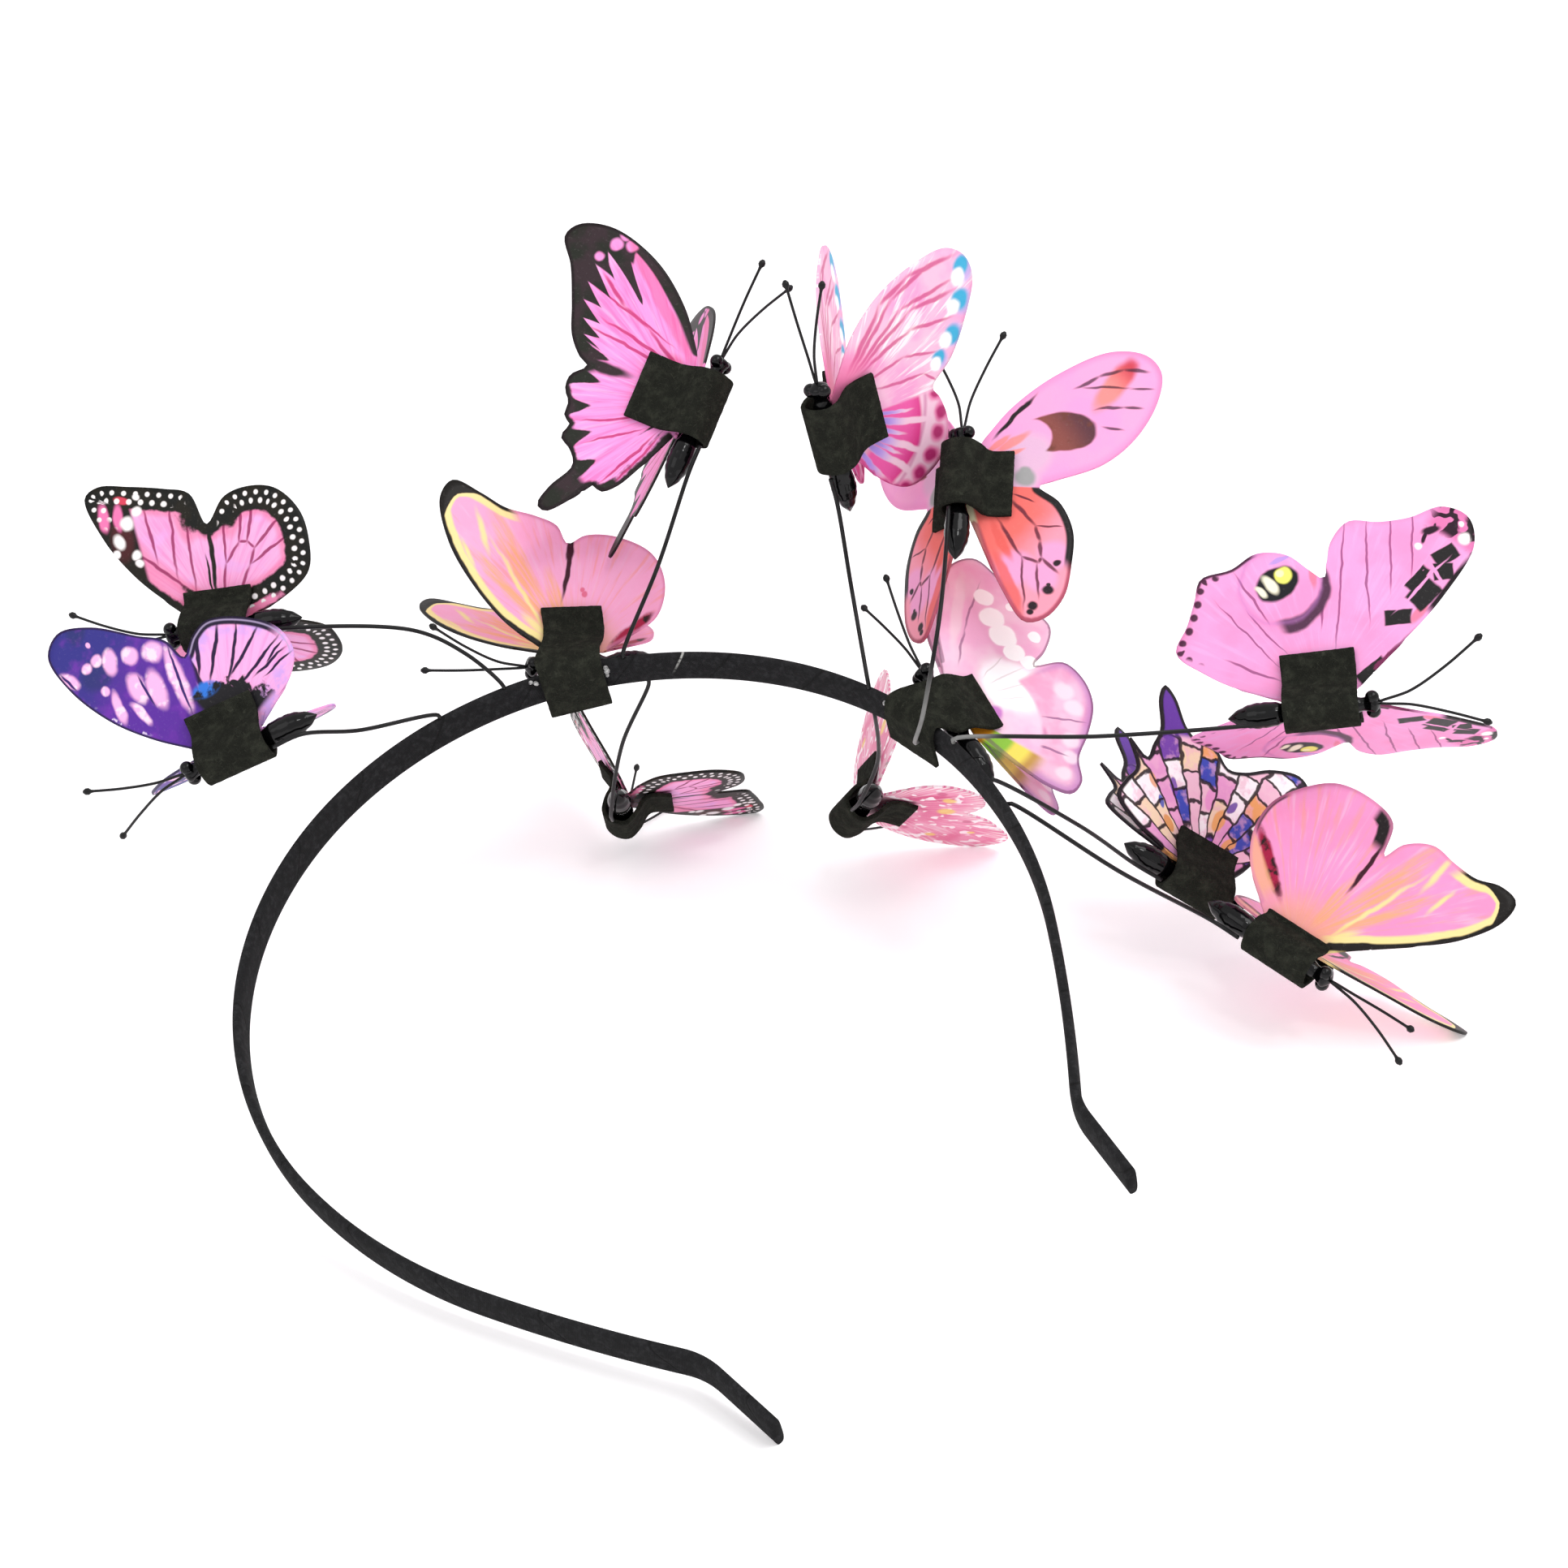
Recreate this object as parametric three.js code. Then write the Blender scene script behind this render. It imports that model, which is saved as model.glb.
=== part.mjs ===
// A headband lying on a table, dressed with twelve printed butterflies.
// Millimetres, +Z up. X runs to the right as the piece is seen, Y away from the viewer, and the table is Z = 0.
import * as THREE from 'three';

// Driving dimensions of the band
const BAND_ARM = 175;
const BAND_WIDTH = 5.8;
const BAND_THICKNESS = 1.6;
const BAND_SPAN_TURNS = [34, 31, 31, 23, 7];
const TIP_LENGTH = 14.5;
const TIP_BEND = 28;
const TIP_BEND_LENGTH = 6;
const BAND_STATION = 8;

// Driving dimensions that every butterfly shares
const GAP = 0.3;
const SHEET_THICKNESS = 0.5;
const SHEET_COLUMNS = 24;
const TAILED_COLUMNS = 34;
const SHEET_ROWS = 2;
const WING_CURL = 2.2;
const WING_ROOT_FRONT = 4.5;
const WING_ROOT_BACK = 5;
const BODY_RADIUS = 2.2;
const HEAD_REACH = 9.5;
const TAIL_REACH = 15;
const BODY_SIDES = 7;
const ANTENNA_LENGTH = 16;
const ANTENNA_RADIUS = 0.35;
const KNOB_RADIUS = 0.65;
const WIRE_RADIUS = 0.45;
const WIRE_SIDES = 5;
const FELT_LENGTH = 12;
const FELT_THICKNESS = 0.9;
const STRAP_LENGTH = 12;

const BODY_AXIS = SHEET_THICKNESS / 2 + GAP + BODY_RADIUS;
const FELT_BOTTOM = BODY_AXIS + BODY_RADIUS + GAP;

const rad = THREE.MathUtils.degToRad;
const vec = (x, y, z) => new THREE.Vector3(x, y, z);

// Closed solids
// A loft joins equal rings of points and closes both ends with a fan.
function loft(rings) {
  const sides = rings[0].length;
  const points = rings.flat();
  const faces = [];
  for (let i = 0; i + 1 < rings.length; i++) {
    for (let j = 0; j < sides; j++) {
      const a = i * sides + j;
      const b = i * sides + (j + 1) % sides;
      faces.push(a, b, b + sides, a, b + sides, a + sides);
    }
  }
  const last = (rings.length - 1) * sides;
  for (let j = 1; j + 1 < sides; j++) {
    faces.push(0, j + 1, j);
    faces.push(last, last + j, last + j + 1);
  }
  return outward(points, faces);
}

// A slab thickens a grid of points evenly to both sides and closes its rim.
function slab(grid, thickness) {
  const rows = grid.length;
  const columns = grid[0].length;
  const normalAt = (i, j) => {
    const along = grid[Math.min(i + 1, rows - 1)][j].clone().sub(grid[Math.max(i - 1, 0)][j]);
    const across = grid[i][Math.min(j + 1, columns - 1)].clone().sub(grid[i][Math.max(j - 1, 0)]);
    return along.cross(across).normalize().multiplyScalar(thickness / 2);
  };
  const upper = [];
  const lower = [];
  grid.forEach((row, i) => row.forEach((point, j) => {
    const normal = normalAt(i, j);
    upper.push(point.clone().add(normal));
    lower.push(point.clone().sub(normal));
  }));
  const shift = rows * columns;
  const faces = [];
  const quad = (a, b, c, d) => faces.push(a, b, c, a, c, d);
  for (let i = 0; i + 1 < rows; i++) {
    for (let j = 0; j + 1 < columns; j++) {
      const a = i * columns + j;
      const b = a + columns;
      quad(a, b, b + 1, a + 1);
      quad(a + shift, a + 1 + shift, b + 1 + shift, b + shift);
    }
  }
  for (let i = 0; i + 1 < rows; i++) {
    const a = i * columns;
    const b = a + columns;
    quad(a, a + shift, b + shift, b);
    const c = a + columns - 1;
    quad(c, c + columns, c + columns + shift, c + shift);
  }
  for (let j = 0; j + 1 < columns; j++) {
    quad(j, j + 1, j + 1 + shift, j + shift);
    const c = (rows - 1) * columns + j;
    quad(c, c + shift, c + 1 + shift, c + 1);
  }
  return outward([...upper, ...lower], faces);
}

// The signed volume tells which way the faces look, and they are turned to look out.
function outward(points, faces) {
  let volume = 0;
  for (let k = 0; k < faces.length; k += 3) {
    const [a, b, c] = [points[faces[k]], points[faces[k + 1]], points[faces[k + 2]]];
    volume += a.dot(b.clone().cross(c));
  }
  if (volume < 0) {
    for (let k = 0; k < faces.length; k += 3) {
      const kept = faces[k + 1];
      faces[k + 1] = faces[k + 2];
      faces[k + 2] = kept;
    }
  }
  const geometry = new THREE.BufferGeometry();
  geometry.setAttribute('position', new THREE.Float32BufferAttribute(points.flatMap((p) => p.toArray()), 3));
  geometry.setIndex(faces);
  return geometry;
}

// A round cord follows a smooth path; its radius may change from end to end.
// Its rings stand evenly along the path, or evenly between the points when it has to touch each of them.
function cord(path, steps, sides, radiusAt, throughPoints = false) {
  const curve = new THREE.CatmullRomCurve3(path, false, 'centripetal');
  const spoke = new THREE.Vector3();
  const rings = [];
  for (let i = 0; i <= steps; i++) {
    const share = i / steps;
    const middle = throughPoints ? curve.getPoint(share) : curve.getPointAt(share);
    const ahead = throughPoints ? curve.getTangent(share) : curve.getTangentAt(share);
    if (i === 0) {
      spoke.crossVectors(ahead, Math.abs(ahead.z) < 0.9 ? vec(0, 0, 1) : vec(1, 0, 0));
    }
    spoke.addScaledVector(ahead, -spoke.dot(ahead)).normalize();
    const other = ahead.clone().cross(spoke);
    const ring = [];
    for (let j = 0; j < sides; j++) {
      const turn = 2 * Math.PI * j / sides;
      const radius = radiusAt(share);
      ring.push(middle.clone().addScaledVector(spoke, radius * Math.cos(turn))
        .addScaledVector(other, radius * Math.sin(turn)));
    }
    rings.push(ring);
  }
  return loft(rings);
}

const group = new THREE.Group();
function add(name, geometry, color, roughness, metalness) {
  const mesh = new THREE.Mesh(geometry, new THREE.MeshStandardMaterial({ color, roughness, metalness }));
  mesh.name = name;
  group.add(mesh);
  return mesh;
}

// The band
// One half is five equal spans of constant curvature, then a short outward bend and a straight tip.
const BAND_SPAN = BAND_ARM / BAND_SPAN_TURNS.length;
function bandStation(distance) {
  const step = 0.25;
  const bendStart = BAND_ARM - TIP_BEND_LENGTH / 2;
  const bendEnd = BAND_ARM + TIP_BEND_LENGTH / 2;
  let x = 0;
  let depth = 0;
  let turn = 0;
  for (let s = 0; s < distance - 1e-6; s += step) {
    const length = Math.min(step, distance - s);
    let rate = 0;
    if (s < bendStart) {
      rate = BAND_SPAN_TURNS[Math.floor(s / BAND_SPAN)] / BAND_SPAN;
    } else if (s < bendEnd) {
      rate = -TIP_BEND / TIP_BEND_LENGTH;
    }
    const middle = turn + rate * length / 2;
    x += length * Math.cos(rad(middle));
    depth += length * Math.sin(rad(middle));
    turn += rate * length;
  }
  return { x, depth, turn };
}

// Where the band's crown stands and how the band lies: azimuth and rise of its open axis, then its roll.
const CROWN = vec(-59, 41.5, 41);
const BAND_AZIMUTH = 124.7;
const BAND_RISE = 11.1;
const BAND_ROLL = 19.4;
const bandOut = vec(Math.cos(rad(BAND_AZIMUTH)) * Math.cos(rad(BAND_RISE)),
  Math.sin(rad(BAND_AZIMUTH)) * Math.cos(rad(BAND_RISE)), Math.sin(rad(BAND_RISE)));
const bandSide = vec(Math.sin(rad(BAND_AZIMUTH)), -Math.cos(rad(BAND_AZIMUTH)), 0);
bandSide.applyAxisAngle(bandOut, rad(-BAND_ROLL));
if (bandSide.z < 0) {
  bandSide.applyAxisAngle(bandOut, rad(2 * BAND_ROLL));
}
const bandFace = bandOut.clone().cross(bandSide).normalize();

function bandPoint(distance, outwardBy, acrossBy) {
  const { x, depth, turn } = bandStation(Math.abs(distance));
  const side = Math.sign(distance) || 1;
  const spread = x + outwardBy * Math.sin(rad(turn));
  const reach = -depth + outwardBy * Math.cos(rad(turn));
  return CROWN.clone().addScaledVector(bandSide, side * spread)
    .addScaledVector(bandOut, reach).addScaledVector(bandFace, acrossBy);
}

const bandEnd = BAND_ARM + TIP_LENGTH;
const bandRings = [];
const bandSteps = Math.round(2 * bandEnd / BAND_STATION);
for (let i = 0; i <= bandSteps; i++) {
  const distance = -bandEnd + 2 * bandEnd * i / bandSteps;
  const half = BAND_WIDTH / 2;
  const thick = BAND_THICKNESS / 2;
  const soft = thick * 0.6;
  bandRings.push([
    bandPoint(distance, thick, -half + soft), bandPoint(distance, thick, half - soft),
    bandPoint(distance, soft * 0.6, half), bandPoint(distance, -soft * 0.6, half),
    bandPoint(distance, -thick, half - soft), bandPoint(distance, -thick, -half + soft),
    bandPoint(distance, -soft * 0.6, -half), bandPoint(distance, soft * 0.6, -half),
  ]);
}
const bandMesh = add('headband_band', loft(bandRings), 0x2e2e2e, 0.85, 0);

// Wing outlines
// Each row is an angle from straight out towards the head, then the reach there.
// The reach is a share of the butterfly's longest reach.
const OUTLINES = {
  monarch: [[75, 0.16], [64, 0.32], [57, 0.52], [50, 0.76], [43, 0.98], [38, 0.97], [30, 0.86], [19, 0.75],
    [10, 0.68], [4, 0.5], [-6, 0.63], [-16, 0.69], [-28, 0.72], [-42, 0.68], [-55, 0.6], [-68, 0.51],
    [-78, 0.32], [-86, 0.17]],
  indigo: [[78, 0.2], [66, 0.38], [58, 0.6], [50, 0.83], [43, 0.99], [36, 1], [29, 0.88], [20, 0.68],
    [12, 0.58], [8, 0.46], [-1, 0.53], [-10, 0.58], [-28, 0.58], [-45, 0.57], [-58, 0.51], [-67, 0.38],
    [-72, 0.2]],
  blush: [[75, 0.17], [64, 0.34], [53, 0.55], [44, 0.78], [35, 0.97], [29, 1], [24, 0.88], [19, 0.77],
    [9, 0.69], [1, 0.63], [-3, 0.54], [-12, 0.59], [-26, 0.63], [-43, 0.65], [-56, 0.59], [-69, 0.46],
    [-76, 0.28], [-84, 0.17]],
  swallowtail: [[76, 0.26], [66, 0.46], [56, 0.7], [46, 0.91], [38, 1], [33, 0.99], [29, 0.86], [20, 0.72],
    [10, 0.63], [3, 0.55], [0, 0.5], [-7, 0.56], [-14, 0.57], [-20, 0.55], [-27, 0.57], [-31, 0.55],
    [-36, 0.6], [-43, 0.58], [-50, 0.6], [-53, 0.74], [-56, 0.83], [-59, 0.82], [-61, 0.72], [-62, 0.58],
    [-67, 0.57], [-71, 0.5], [-75, 0.34], [-80, 0.18]],
  dotted: [[75, 0.22], [63, 0.42], [52, 0.62], [42, 0.8], [33, 0.96], [26, 1], [19, 0.97], [10, 0.83],
    [0, 0.69], [-9, 0.56], [-15, 0.6], [-26, 0.66], [-38, 0.68], [-50, 0.64], [-60, 0.57], [-68, 0.42],
    [-73, 0.24], [-80, 0.15]],
  crescent: [[75, 0.24], [66, 0.42], [57, 0.66], [49, 0.9], [42, 1], [36, 1], [29, 0.91], [20, 0.75],
    [12, 0.58], [5, 0.36], [1, 0.3], [-10, 0.4], [-24, 0.5], [-38, 0.58], [-50, 0.67], [-60, 0.71],
    [-67, 0.69], [-71, 0.52], [-74, 0.34], [-78, 0.19]],
  pearl: [[78, 0.3], [75, 0.48], [70, 0.68], [64, 0.9], [56, 0.98], [47, 0.9], [36, 0.82], [24, 0.79],
    [17, 0.64], [14, 0.52], [8, 0.68], [-2, 0.72], [-14, 0.71], [-30, 0.65], [-45, 0.62], [-56, 0.68],
    [-64, 0.67], [-69, 0.55], [-72, 0.36], [-76, 0.18]],
  peacock: [[64, 0.26], [58, 0.46], [54, 0.68], [49, 0.92], [43, 1], [36, 0.98], [30, 0.88], [22, 0.82],
    [13, 0.8], [8, 0.7], [6, 0.54], [0, 0.58], [-8, 0.67], [-18, 0.72], [-28, 0.71], [-38, 0.76],
    [-45, 0.71], [-54, 0.67], [-65, 0.66], [-70, 0.52], [-75, 0.36], [-78, 0.17]],
  petal: [[66, 0.15], [62, 0.32], [60, 0.5], [57, 0.74], [52, 0.93], [47, 1], [42, 0.95], [38, 0.86], [31, 0.8],
    [22, 0.76], [15, 0.66], [13, 0.56], [6, 0.7], [-4, 0.74], [-19, 0.76], [-33, 0.71], [-43, 0.66],
    [-53, 0.56], [-62, 0.42], [-70, 0.24]],
  tailed: [[72, 0.2], [50, 0.45], [40, 0.75], [33, 0.95], [27, 0.97], [18, 0.85], [8, 0.7], [0, 0.66],
    [-8, 0.74], [-18, 0.76], [-22, 0.82], [-25, 0.98], [-28, 1.05], [-31, 0.98], [-34, 0.8], [-40, 0.72],
    [-46, 0.66], [-50, 0.8], [-54, 0.64], [-64, 0.62], [-74, 0.6], [-80, 0.45], [-84, 0.25]],
};

// Butterflies
// A butterfly stands off its own station on the band, which is a share of the band's arm from the crown.
// Stand is from that station, or from the butterfly that it hangs beside, to the middle of the thorax.
// Heading, pitch and roll turn the body.
// Rise is how far each wing lifts towards the back, and reach is the wing's longest reach.
// Feelers gives how far the left and the right antenna tips lie to the side, and how far both lift to the back.
// Leaves are the lengths of the felt along the left and the right wing.
const BUTTERFLIES = [
  { name: 'monarch', color: 0xe68fc8, outline: 'monarch',
    station: 0.08, stand: [-49.2, 9.1, 10.8], heading: 175, pitch: -10, roll: 84,
    rise: 34, reach: 34, feelers: [-4, 5, 3], leaves: [5.5, 8], seated: false },
  { name: 'indigo', color: 0x8a6cc0, outline: 'indigo',
    station: 0.011, stand: [-32.6, -13.4, 4.4], heading: -175, pitch: -24, roll: 73,
    rise: 44, reach: 35, feelers: [-2, 8, 3], leaves: [6.5, 8], seated: false },
  { name: 'blush', color: 0xf2a0ae, outline: 'blush',
    station: 0.147, stand: [-0.3, 6.9, 1.9], heading: -160, pitch: 6, roll: 66,
    rise: 60, reach: 36.5, feelers: [-6, 3, 4], leaves: [8, 8], seated: false },
  { name: 'swallowtail', color: 0xd765b8, outline: 'swallowtail',
    station: 0.2, stand: [10.6, 16.7, 41.2], heading: 56, pitch: 49, roll: -98,
    rise: 51, reach: 37, feelers: [-4, 3, -4], leaves: [8, 9.5], seated: false },
  { name: 'dotted', color: 0xeea0d6, outline: 'dotted',
    station: 0.457, stand: [-5.7, 15.3, 42.2], heading: -144, pitch: 73, roll: 24,
    rise: 63, reach: 35, feelers: [-3, 2, 3], leaves: [8, 8], seated: false },
  { name: 'crescent', color: 0xec8fb0, outline: 'crescent',
    station: 0.531, stand: [7.1, 28.6, 31.9], heading: 84, pitch: 42, roll: 152,
    rise: 26, reach: 38.6, feelers: [-6, 6, 0], leaves: [7.5, 8], seated: false },
  { name: 'pearl', color: 0xf3b6de, outline: 'pearl',
    station: 0.517, stand: [6.9, 3.6, 0.9], heading: 122, pitch: 32, roll: 103,
    rise: 72, reach: 33.6, feelers: [-3, 3, 0], leaves: [5, 5], seated: false },
  { name: 'peacock', color: 0xee94ce, outline: 'peacock',
    station: 0.571, stand: [59.5, 8.6, 5.6], heading: -11, pitch: 12, roll: -86,
    rise: 40, reach: 38, feelers: [-6, 8, 2], leaves: [8, 8], seated: false },
  { name: 'petal', color: 0xf29ab4, outline: 'petal',
    station: 0.651, stand: [48.7, 4.6, -25.2], heading: -40, pitch: -15, roll: -80,
    rise: 48, reach: 35.8, feelers: [-2, 4, -4], leaves: [8, 2.6], seated: true },
  { name: 'tailed', color: 0xc99bb0, outline: 'tailed',
    station: 0.617, beside: 'petal', stand: [-12.3, 23.9, -0], heading: 2, pitch: -33, roll: -65,
    rise: 73, reach: 32.5, feelers: [-2, 2, -0.5], leaves: [8, 6], seated: false },
  { name: 'resting', color: 0xd488b2, outline: 'monarch',
    station: 0.217, stand: [-4.9, 26.9, -38.3], heading: 90, pitch: -40, roll: 26,
    rise: 31, reach: 32.5, feelers: [-5, 5, 15], leaves: [8, 8], seated: true },
  { name: 'speckled', color: 0xf09fc6, outline: 'dotted',
    station: 0.457, stand: [0.6, 31.8, -34.4], heading: 108, pitch: -41, roll: 65,
    rise: 46, reach: 32.5, feelers: [-7, 5, 19], leaves: [8, 8], seated: true },
];

// The body's own directions: nose ahead, back up out of the dorsal side, right towards the right wing.
function bodyAxes({ heading, pitch, roll }) {
  const [h, p] = [rad(heading), rad(pitch)];
  const nose = vec(Math.cos(h) * Math.cos(p), Math.sin(h) * Math.cos(p), Math.sin(p));
  const back = vec(-Math.cos(h) * Math.sin(p), -Math.sin(h) * Math.sin(p), Math.cos(p));
  back.applyAxisAngle(nose, rad(roll));
  const right = nose.clone().cross(back);
  return { nose, back, right };
}

const stationOf = (butterfly) => bandPoint(butterfly.station * BAND_ARM, 0, 0);

function middleOf(butterfly) {
  const neighbour = BUTTERFLIES.find(({ name }) => name === butterfly.beside);
  return (neighbour ? middleOf(neighbour) : stationOf(butterfly)).add(vec(...butterfly.stand));
}

function placer(butterfly) {
  const { nose, back, right } = bodyAxes(butterfly);
  const middle = middleOf(butterfly);
  return (ahead, side, up) => middle.clone().addScaledVector(nose, ahead)
    .addScaledVector(right, side).addScaledVector(back, up);
}

function wings(butterfly, place) {
  const rows = OUTLINES[butterfly.outline];
  const edge = rows.map(([angle, share]) => vec(share * Math.sin(rad(angle)), share * Math.cos(rad(angle)), 0));
  const curve = new THREE.CatmullRomCurve3(edge, false, 'centripetal');
  const columns = rows.length > 21 ? TAILED_COLUMNS : SHEET_COLUMNS;
  const grid = [];
  for (let k = -SHEET_ROWS; k <= SHEET_ROWS; k++) {
    const side = Math.sign(k);
    const part = Math.abs(k) / SHEET_ROWS;
    const row = [];
    for (let j = 0; j < columns; j++) {
      const share = j / (columns - 1);
      const tip = curve.getPointAt(share).multiplyScalar(butterfly.reach);
      const root = WING_ROOT_FRONT - (WING_ROOT_FRONT + WING_ROOT_BACK) * share;
      const ahead = root + (tip.x - root) * part;
      const out = tip.y * part;
      const curl = WING_CURL * (out / butterfly.reach) ** 2;
      const lift = rad(butterfly.rise);
      row.push(place(ahead, side * (out * Math.cos(lift) - curl * Math.sin(lift)),
        out * Math.sin(lift) + curl * Math.cos(lift)));
    }
    grid.push(row);
  }
  return slab(grid, SHEET_THICKNESS);
}

// Head, neck, thorax, waist and abdomen, front to back, with each radius as a share of the thorax
const BODY_PROFILE = [[1, 0.4], [0.88, 0.8], [0.7, 0.5], [0.5, 0.75], [0.1, 1], [-0.22, 0.9], [-0.33, 0.55],
  [-0.5, 0.9], [-0.7, 0.95], [-0.88, 0.6], [-1, 0.15]];

function body(place) {
  const rings = BODY_PROFILE.map(([along, share]) => {
    const ahead = along > 0 ? along * HEAD_REACH : along * TAIL_REACH;
    const ring = [];
    for (let j = 0; j < BODY_SIDES; j++) {
      const turn = 2 * Math.PI * j / BODY_SIDES;
      const radius = share * BODY_RADIUS;
      ring.push(place(ahead, radius * Math.cos(turn), -BODY_AXIS + radius * Math.sin(turn)));
    }
    return ring;
  });
  return loft(rings);
}

// One bent wire makes both antennae; it turns just ahead of the head and ends in small knobs.
function antennae(butterfly, place) {
  const [left, right, lift] = butterfly.feelers;
  const start = HEAD_REACH + GAP + ANTENNA_RADIUS;
  const at = (share, side) => place(start + ANTENNA_LENGTH * share, side * share ** 1.4 + Math.sign(side) * share,
    -BODY_AXIS + lift * share ** 1.6);
  const path = [at(1, left), at(0.6, left), at(0.25, left), place(start, 0, -BODY_AXIS),
    at(0.25, right), at(0.6, right), at(1, right)];
  const radiusAt = (share) => Math.min(share, 1 - share) < 0.05 ? KNOB_RADIUS : ANTENNA_RADIUS;
  return cord(path, 12, 4, radiusAt, true);
}

// The felt is folded round the belly and lies against both wings near their roots.
function feltPath({ rise, leaves }) {
  const lift = rad(rise);
  const away = SHEET_THICKNESS / 2 + GAP + FELT_THICKNESS / 2;
  const leaf = (out) => [out * Math.cos(lift) + away * Math.sin(lift), out * Math.sin(lift) - away * Math.cos(lift)];
  const belly = BODY_RADIUS + GAP + FELT_THICKNESS / 2;
  const half = (length) => [[belly * 0.75, -BODY_AXIS - belly * 0.75], [belly * 1.02, -BODY_AXIS],
    leaf(Math.min(3.4, length - 1)), leaf(length)];
  const left = half(leaves[0]).reverse().map(([x, z]) => [-x, z]);
  return [...left, [0, -BODY_AXIS - belly], ...half(leaves[1])];
}

function felt(butterfly, place) {
  const grid = [-0.5, 0.5].map((end) => feltPath(butterfly)
    .map(([side, up]) => place(end * FELT_LENGTH, side, up)));
  return slab(grid, FELT_THICKNESS);
}

// Two butterflies sit on the band itself, and their felt straps the band to the belly.
// The strap lies along the band about the butterfly's station; the flap hangs below the band.
const STRAPS = {
  blush: { flap: 6, overBelly: false },
  pearl: { flap: 8, overBelly: true },
};

function strap(butterfly, place) {
  const { flap, overBelly } = STRAPS[butterfly.name];
  const lift = rad(butterfly.rise);
  const away = SHEET_THICKNESS / 2 + GAP + FELT_THICKNESS / 2;
  const belly = BODY_RADIUS + GAP + FELT_THICKNESS / 2 + 0.25;
  const inner = BAND_THICKNESS / 2 + GAP + FELT_THICKNESS / 2;
  const leaf = (ahead, out) => place(ahead, -out * Math.cos(lift) - away * Math.sin(lift),
    out * Math.sin(lift) - away * Math.cos(lift));
  const grid = [-0.5, 0.5].map((end) => {
    const ahead = end * STRAP_LENGTH;
    const station = butterfly.station * BAND_ARM - ahead;
    const round = overBelly
      ? [place(ahead, -belly * 0.7, -BODY_AXIS - belly * 0.7), place(ahead, -belly, -BODY_AXIS)]
      : [bandPoint(station, inner + 0.3, -BAND_WIDTH / 2 - inner)];
    return [
      bandPoint(station, -inner, flap), bandPoint(station, -inner, -BAND_WIDTH / 2 + 0.4),
      bandPoint(station, -inner / 4, -BAND_WIDTH / 2 - inner / 2 - GAP),
      ...round, leaf(ahead, 3.4), leaf(ahead, butterfly.leaves[0]),
    ];
  });
  return slab(grid, FELT_THICKNESS);
}

// Wire stems run from the band to the tail end of each felt.
// The seat is the side of the band that the wire is glued to; via gives places on its way, from the station.
const WIRE_CLEAR = GAP + WIRE_RADIUS;
const WIRE_SEATS = {
  top: [0, -BAND_WIDTH / 2 - WIRE_CLEAR],
  bottom: [0, BAND_WIDTH / 2 + WIRE_CLEAR],
  outer: [BAND_THICKNESS / 2 + WIRE_CLEAR, 0],
  overFelt: [-BAND_THICKNESS / 2 - GAP - FELT_THICKNESS - 0.2 - WIRE_CLEAR, 0],
};
const WIRES = {
  monarch: { seat: 'top', via: [[-7.2, 3.1, 7.3], [-16.2, 6.1, 10.3]] },
  indigo: { seat: 'top', via: [[-12.6, -9.7, 4.6]] },
  swallowtail: { seat: 'top', via: [[5.6, 2.7, 18.2]] },
  dotted: { seat: 'top', via: [[-3.4, 9.8, 16.6]] },
  crescent: { seat: 'overFelt', via: [[-1.4, -6.5, 6.3], [1.1, -1, 20.3]] },
  peacock: { seat: 'top', via: [[23.1, 2.1, 2.4]] },
  tailed: { seat: 'outer', via: [[16.6, 8.3, -11.7]] },
  petal: { seat: 'outer', via: [[19.2, -0.4, -11.2]] },
  resting: { seat: 'bottom', via: [[-4.4, 4.9, -16.3]] },
  speckled: { seat: 'bottom', via: [[1.6, 12.8, -17.4]] },
};

function wire(butterfly, place) {
  const { seat, via } = WIRES[butterfly.name];
  const [outwardBy, acrossBy] = WIRE_SEATS[seat];
  const up = -BODY_AXIS - BODY_RADIUS - WIRE_CLEAR - 0.1;
  const end = place(-FELT_LENGTH / 2 - WIRE_CLEAR, 0, up);
  const before = place(-FELT_LENGTH / 2 - WIRE_CLEAR - 5, 0, up);
  const start = bandPoint(butterfly.station * BAND_ARM, outwardBy, acrossBy);
  const path = [start, ...via.map((point) => stationOf(butterfly).add(vec(...point))), before, end];
  return cord(path, 9, WIRE_SIDES, () => WIRE_RADIUS);
}

function lowest(geometries) {
  return Math.min(...geometries.map((geometry) => {
    geometry.computeBoundingBox();
    return geometry.boundingBox.min.z;
  }));
}

// Three butterflies touch the table beside the band, so each is let down to the band's own lowest level.
const tableLevel = lowest([bandMesh.geometry]);
function parts(butterfly) {
  const place = placer(butterfly);
  return [wings(butterfly, place), body(place), antennae(butterfly, place),
    STRAPS[butterfly.name] ? strap(butterfly, place) : felt(butterfly, place)];
}

for (const butterfly of BUTTERFLIES) {
  if (butterfly.seated) {
    butterfly.stand[2] += tableLevel - lowest(parts(butterfly));
  }
  const [wingSheet, bodyBead, feelers, patch] = parts(butterfly);
  add(`${butterfly.name}_wings`, wingSheet, butterfly.color, 0.5, 0);
  add(`${butterfly.name}_body`, bodyBead, 0x121212, 0.15, 0);
  add(`${butterfly.name}_antennae`, feelers, 0x161616, 0.35, 0);
  add(`${butterfly.name}_felt`, patch, 0x23241f, 1, 0);
  if (WIRES[butterfly.name]) {
    add(`${butterfly.name}_wire`, wire(butterfly, placer(butterfly)), 0x1a1a1a, 0.3, 0);
  }
}

// The origin goes to the middle of the underside of the whole piece.
const bounds = new THREE.Box3().setFromObject(group);
const middle = bounds.getCenter(new THREE.Vector3());
for (const mesh of group.children) {
  mesh.geometry.translate(-middle.x, -middle.y, -bounds.min.z);
}

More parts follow.
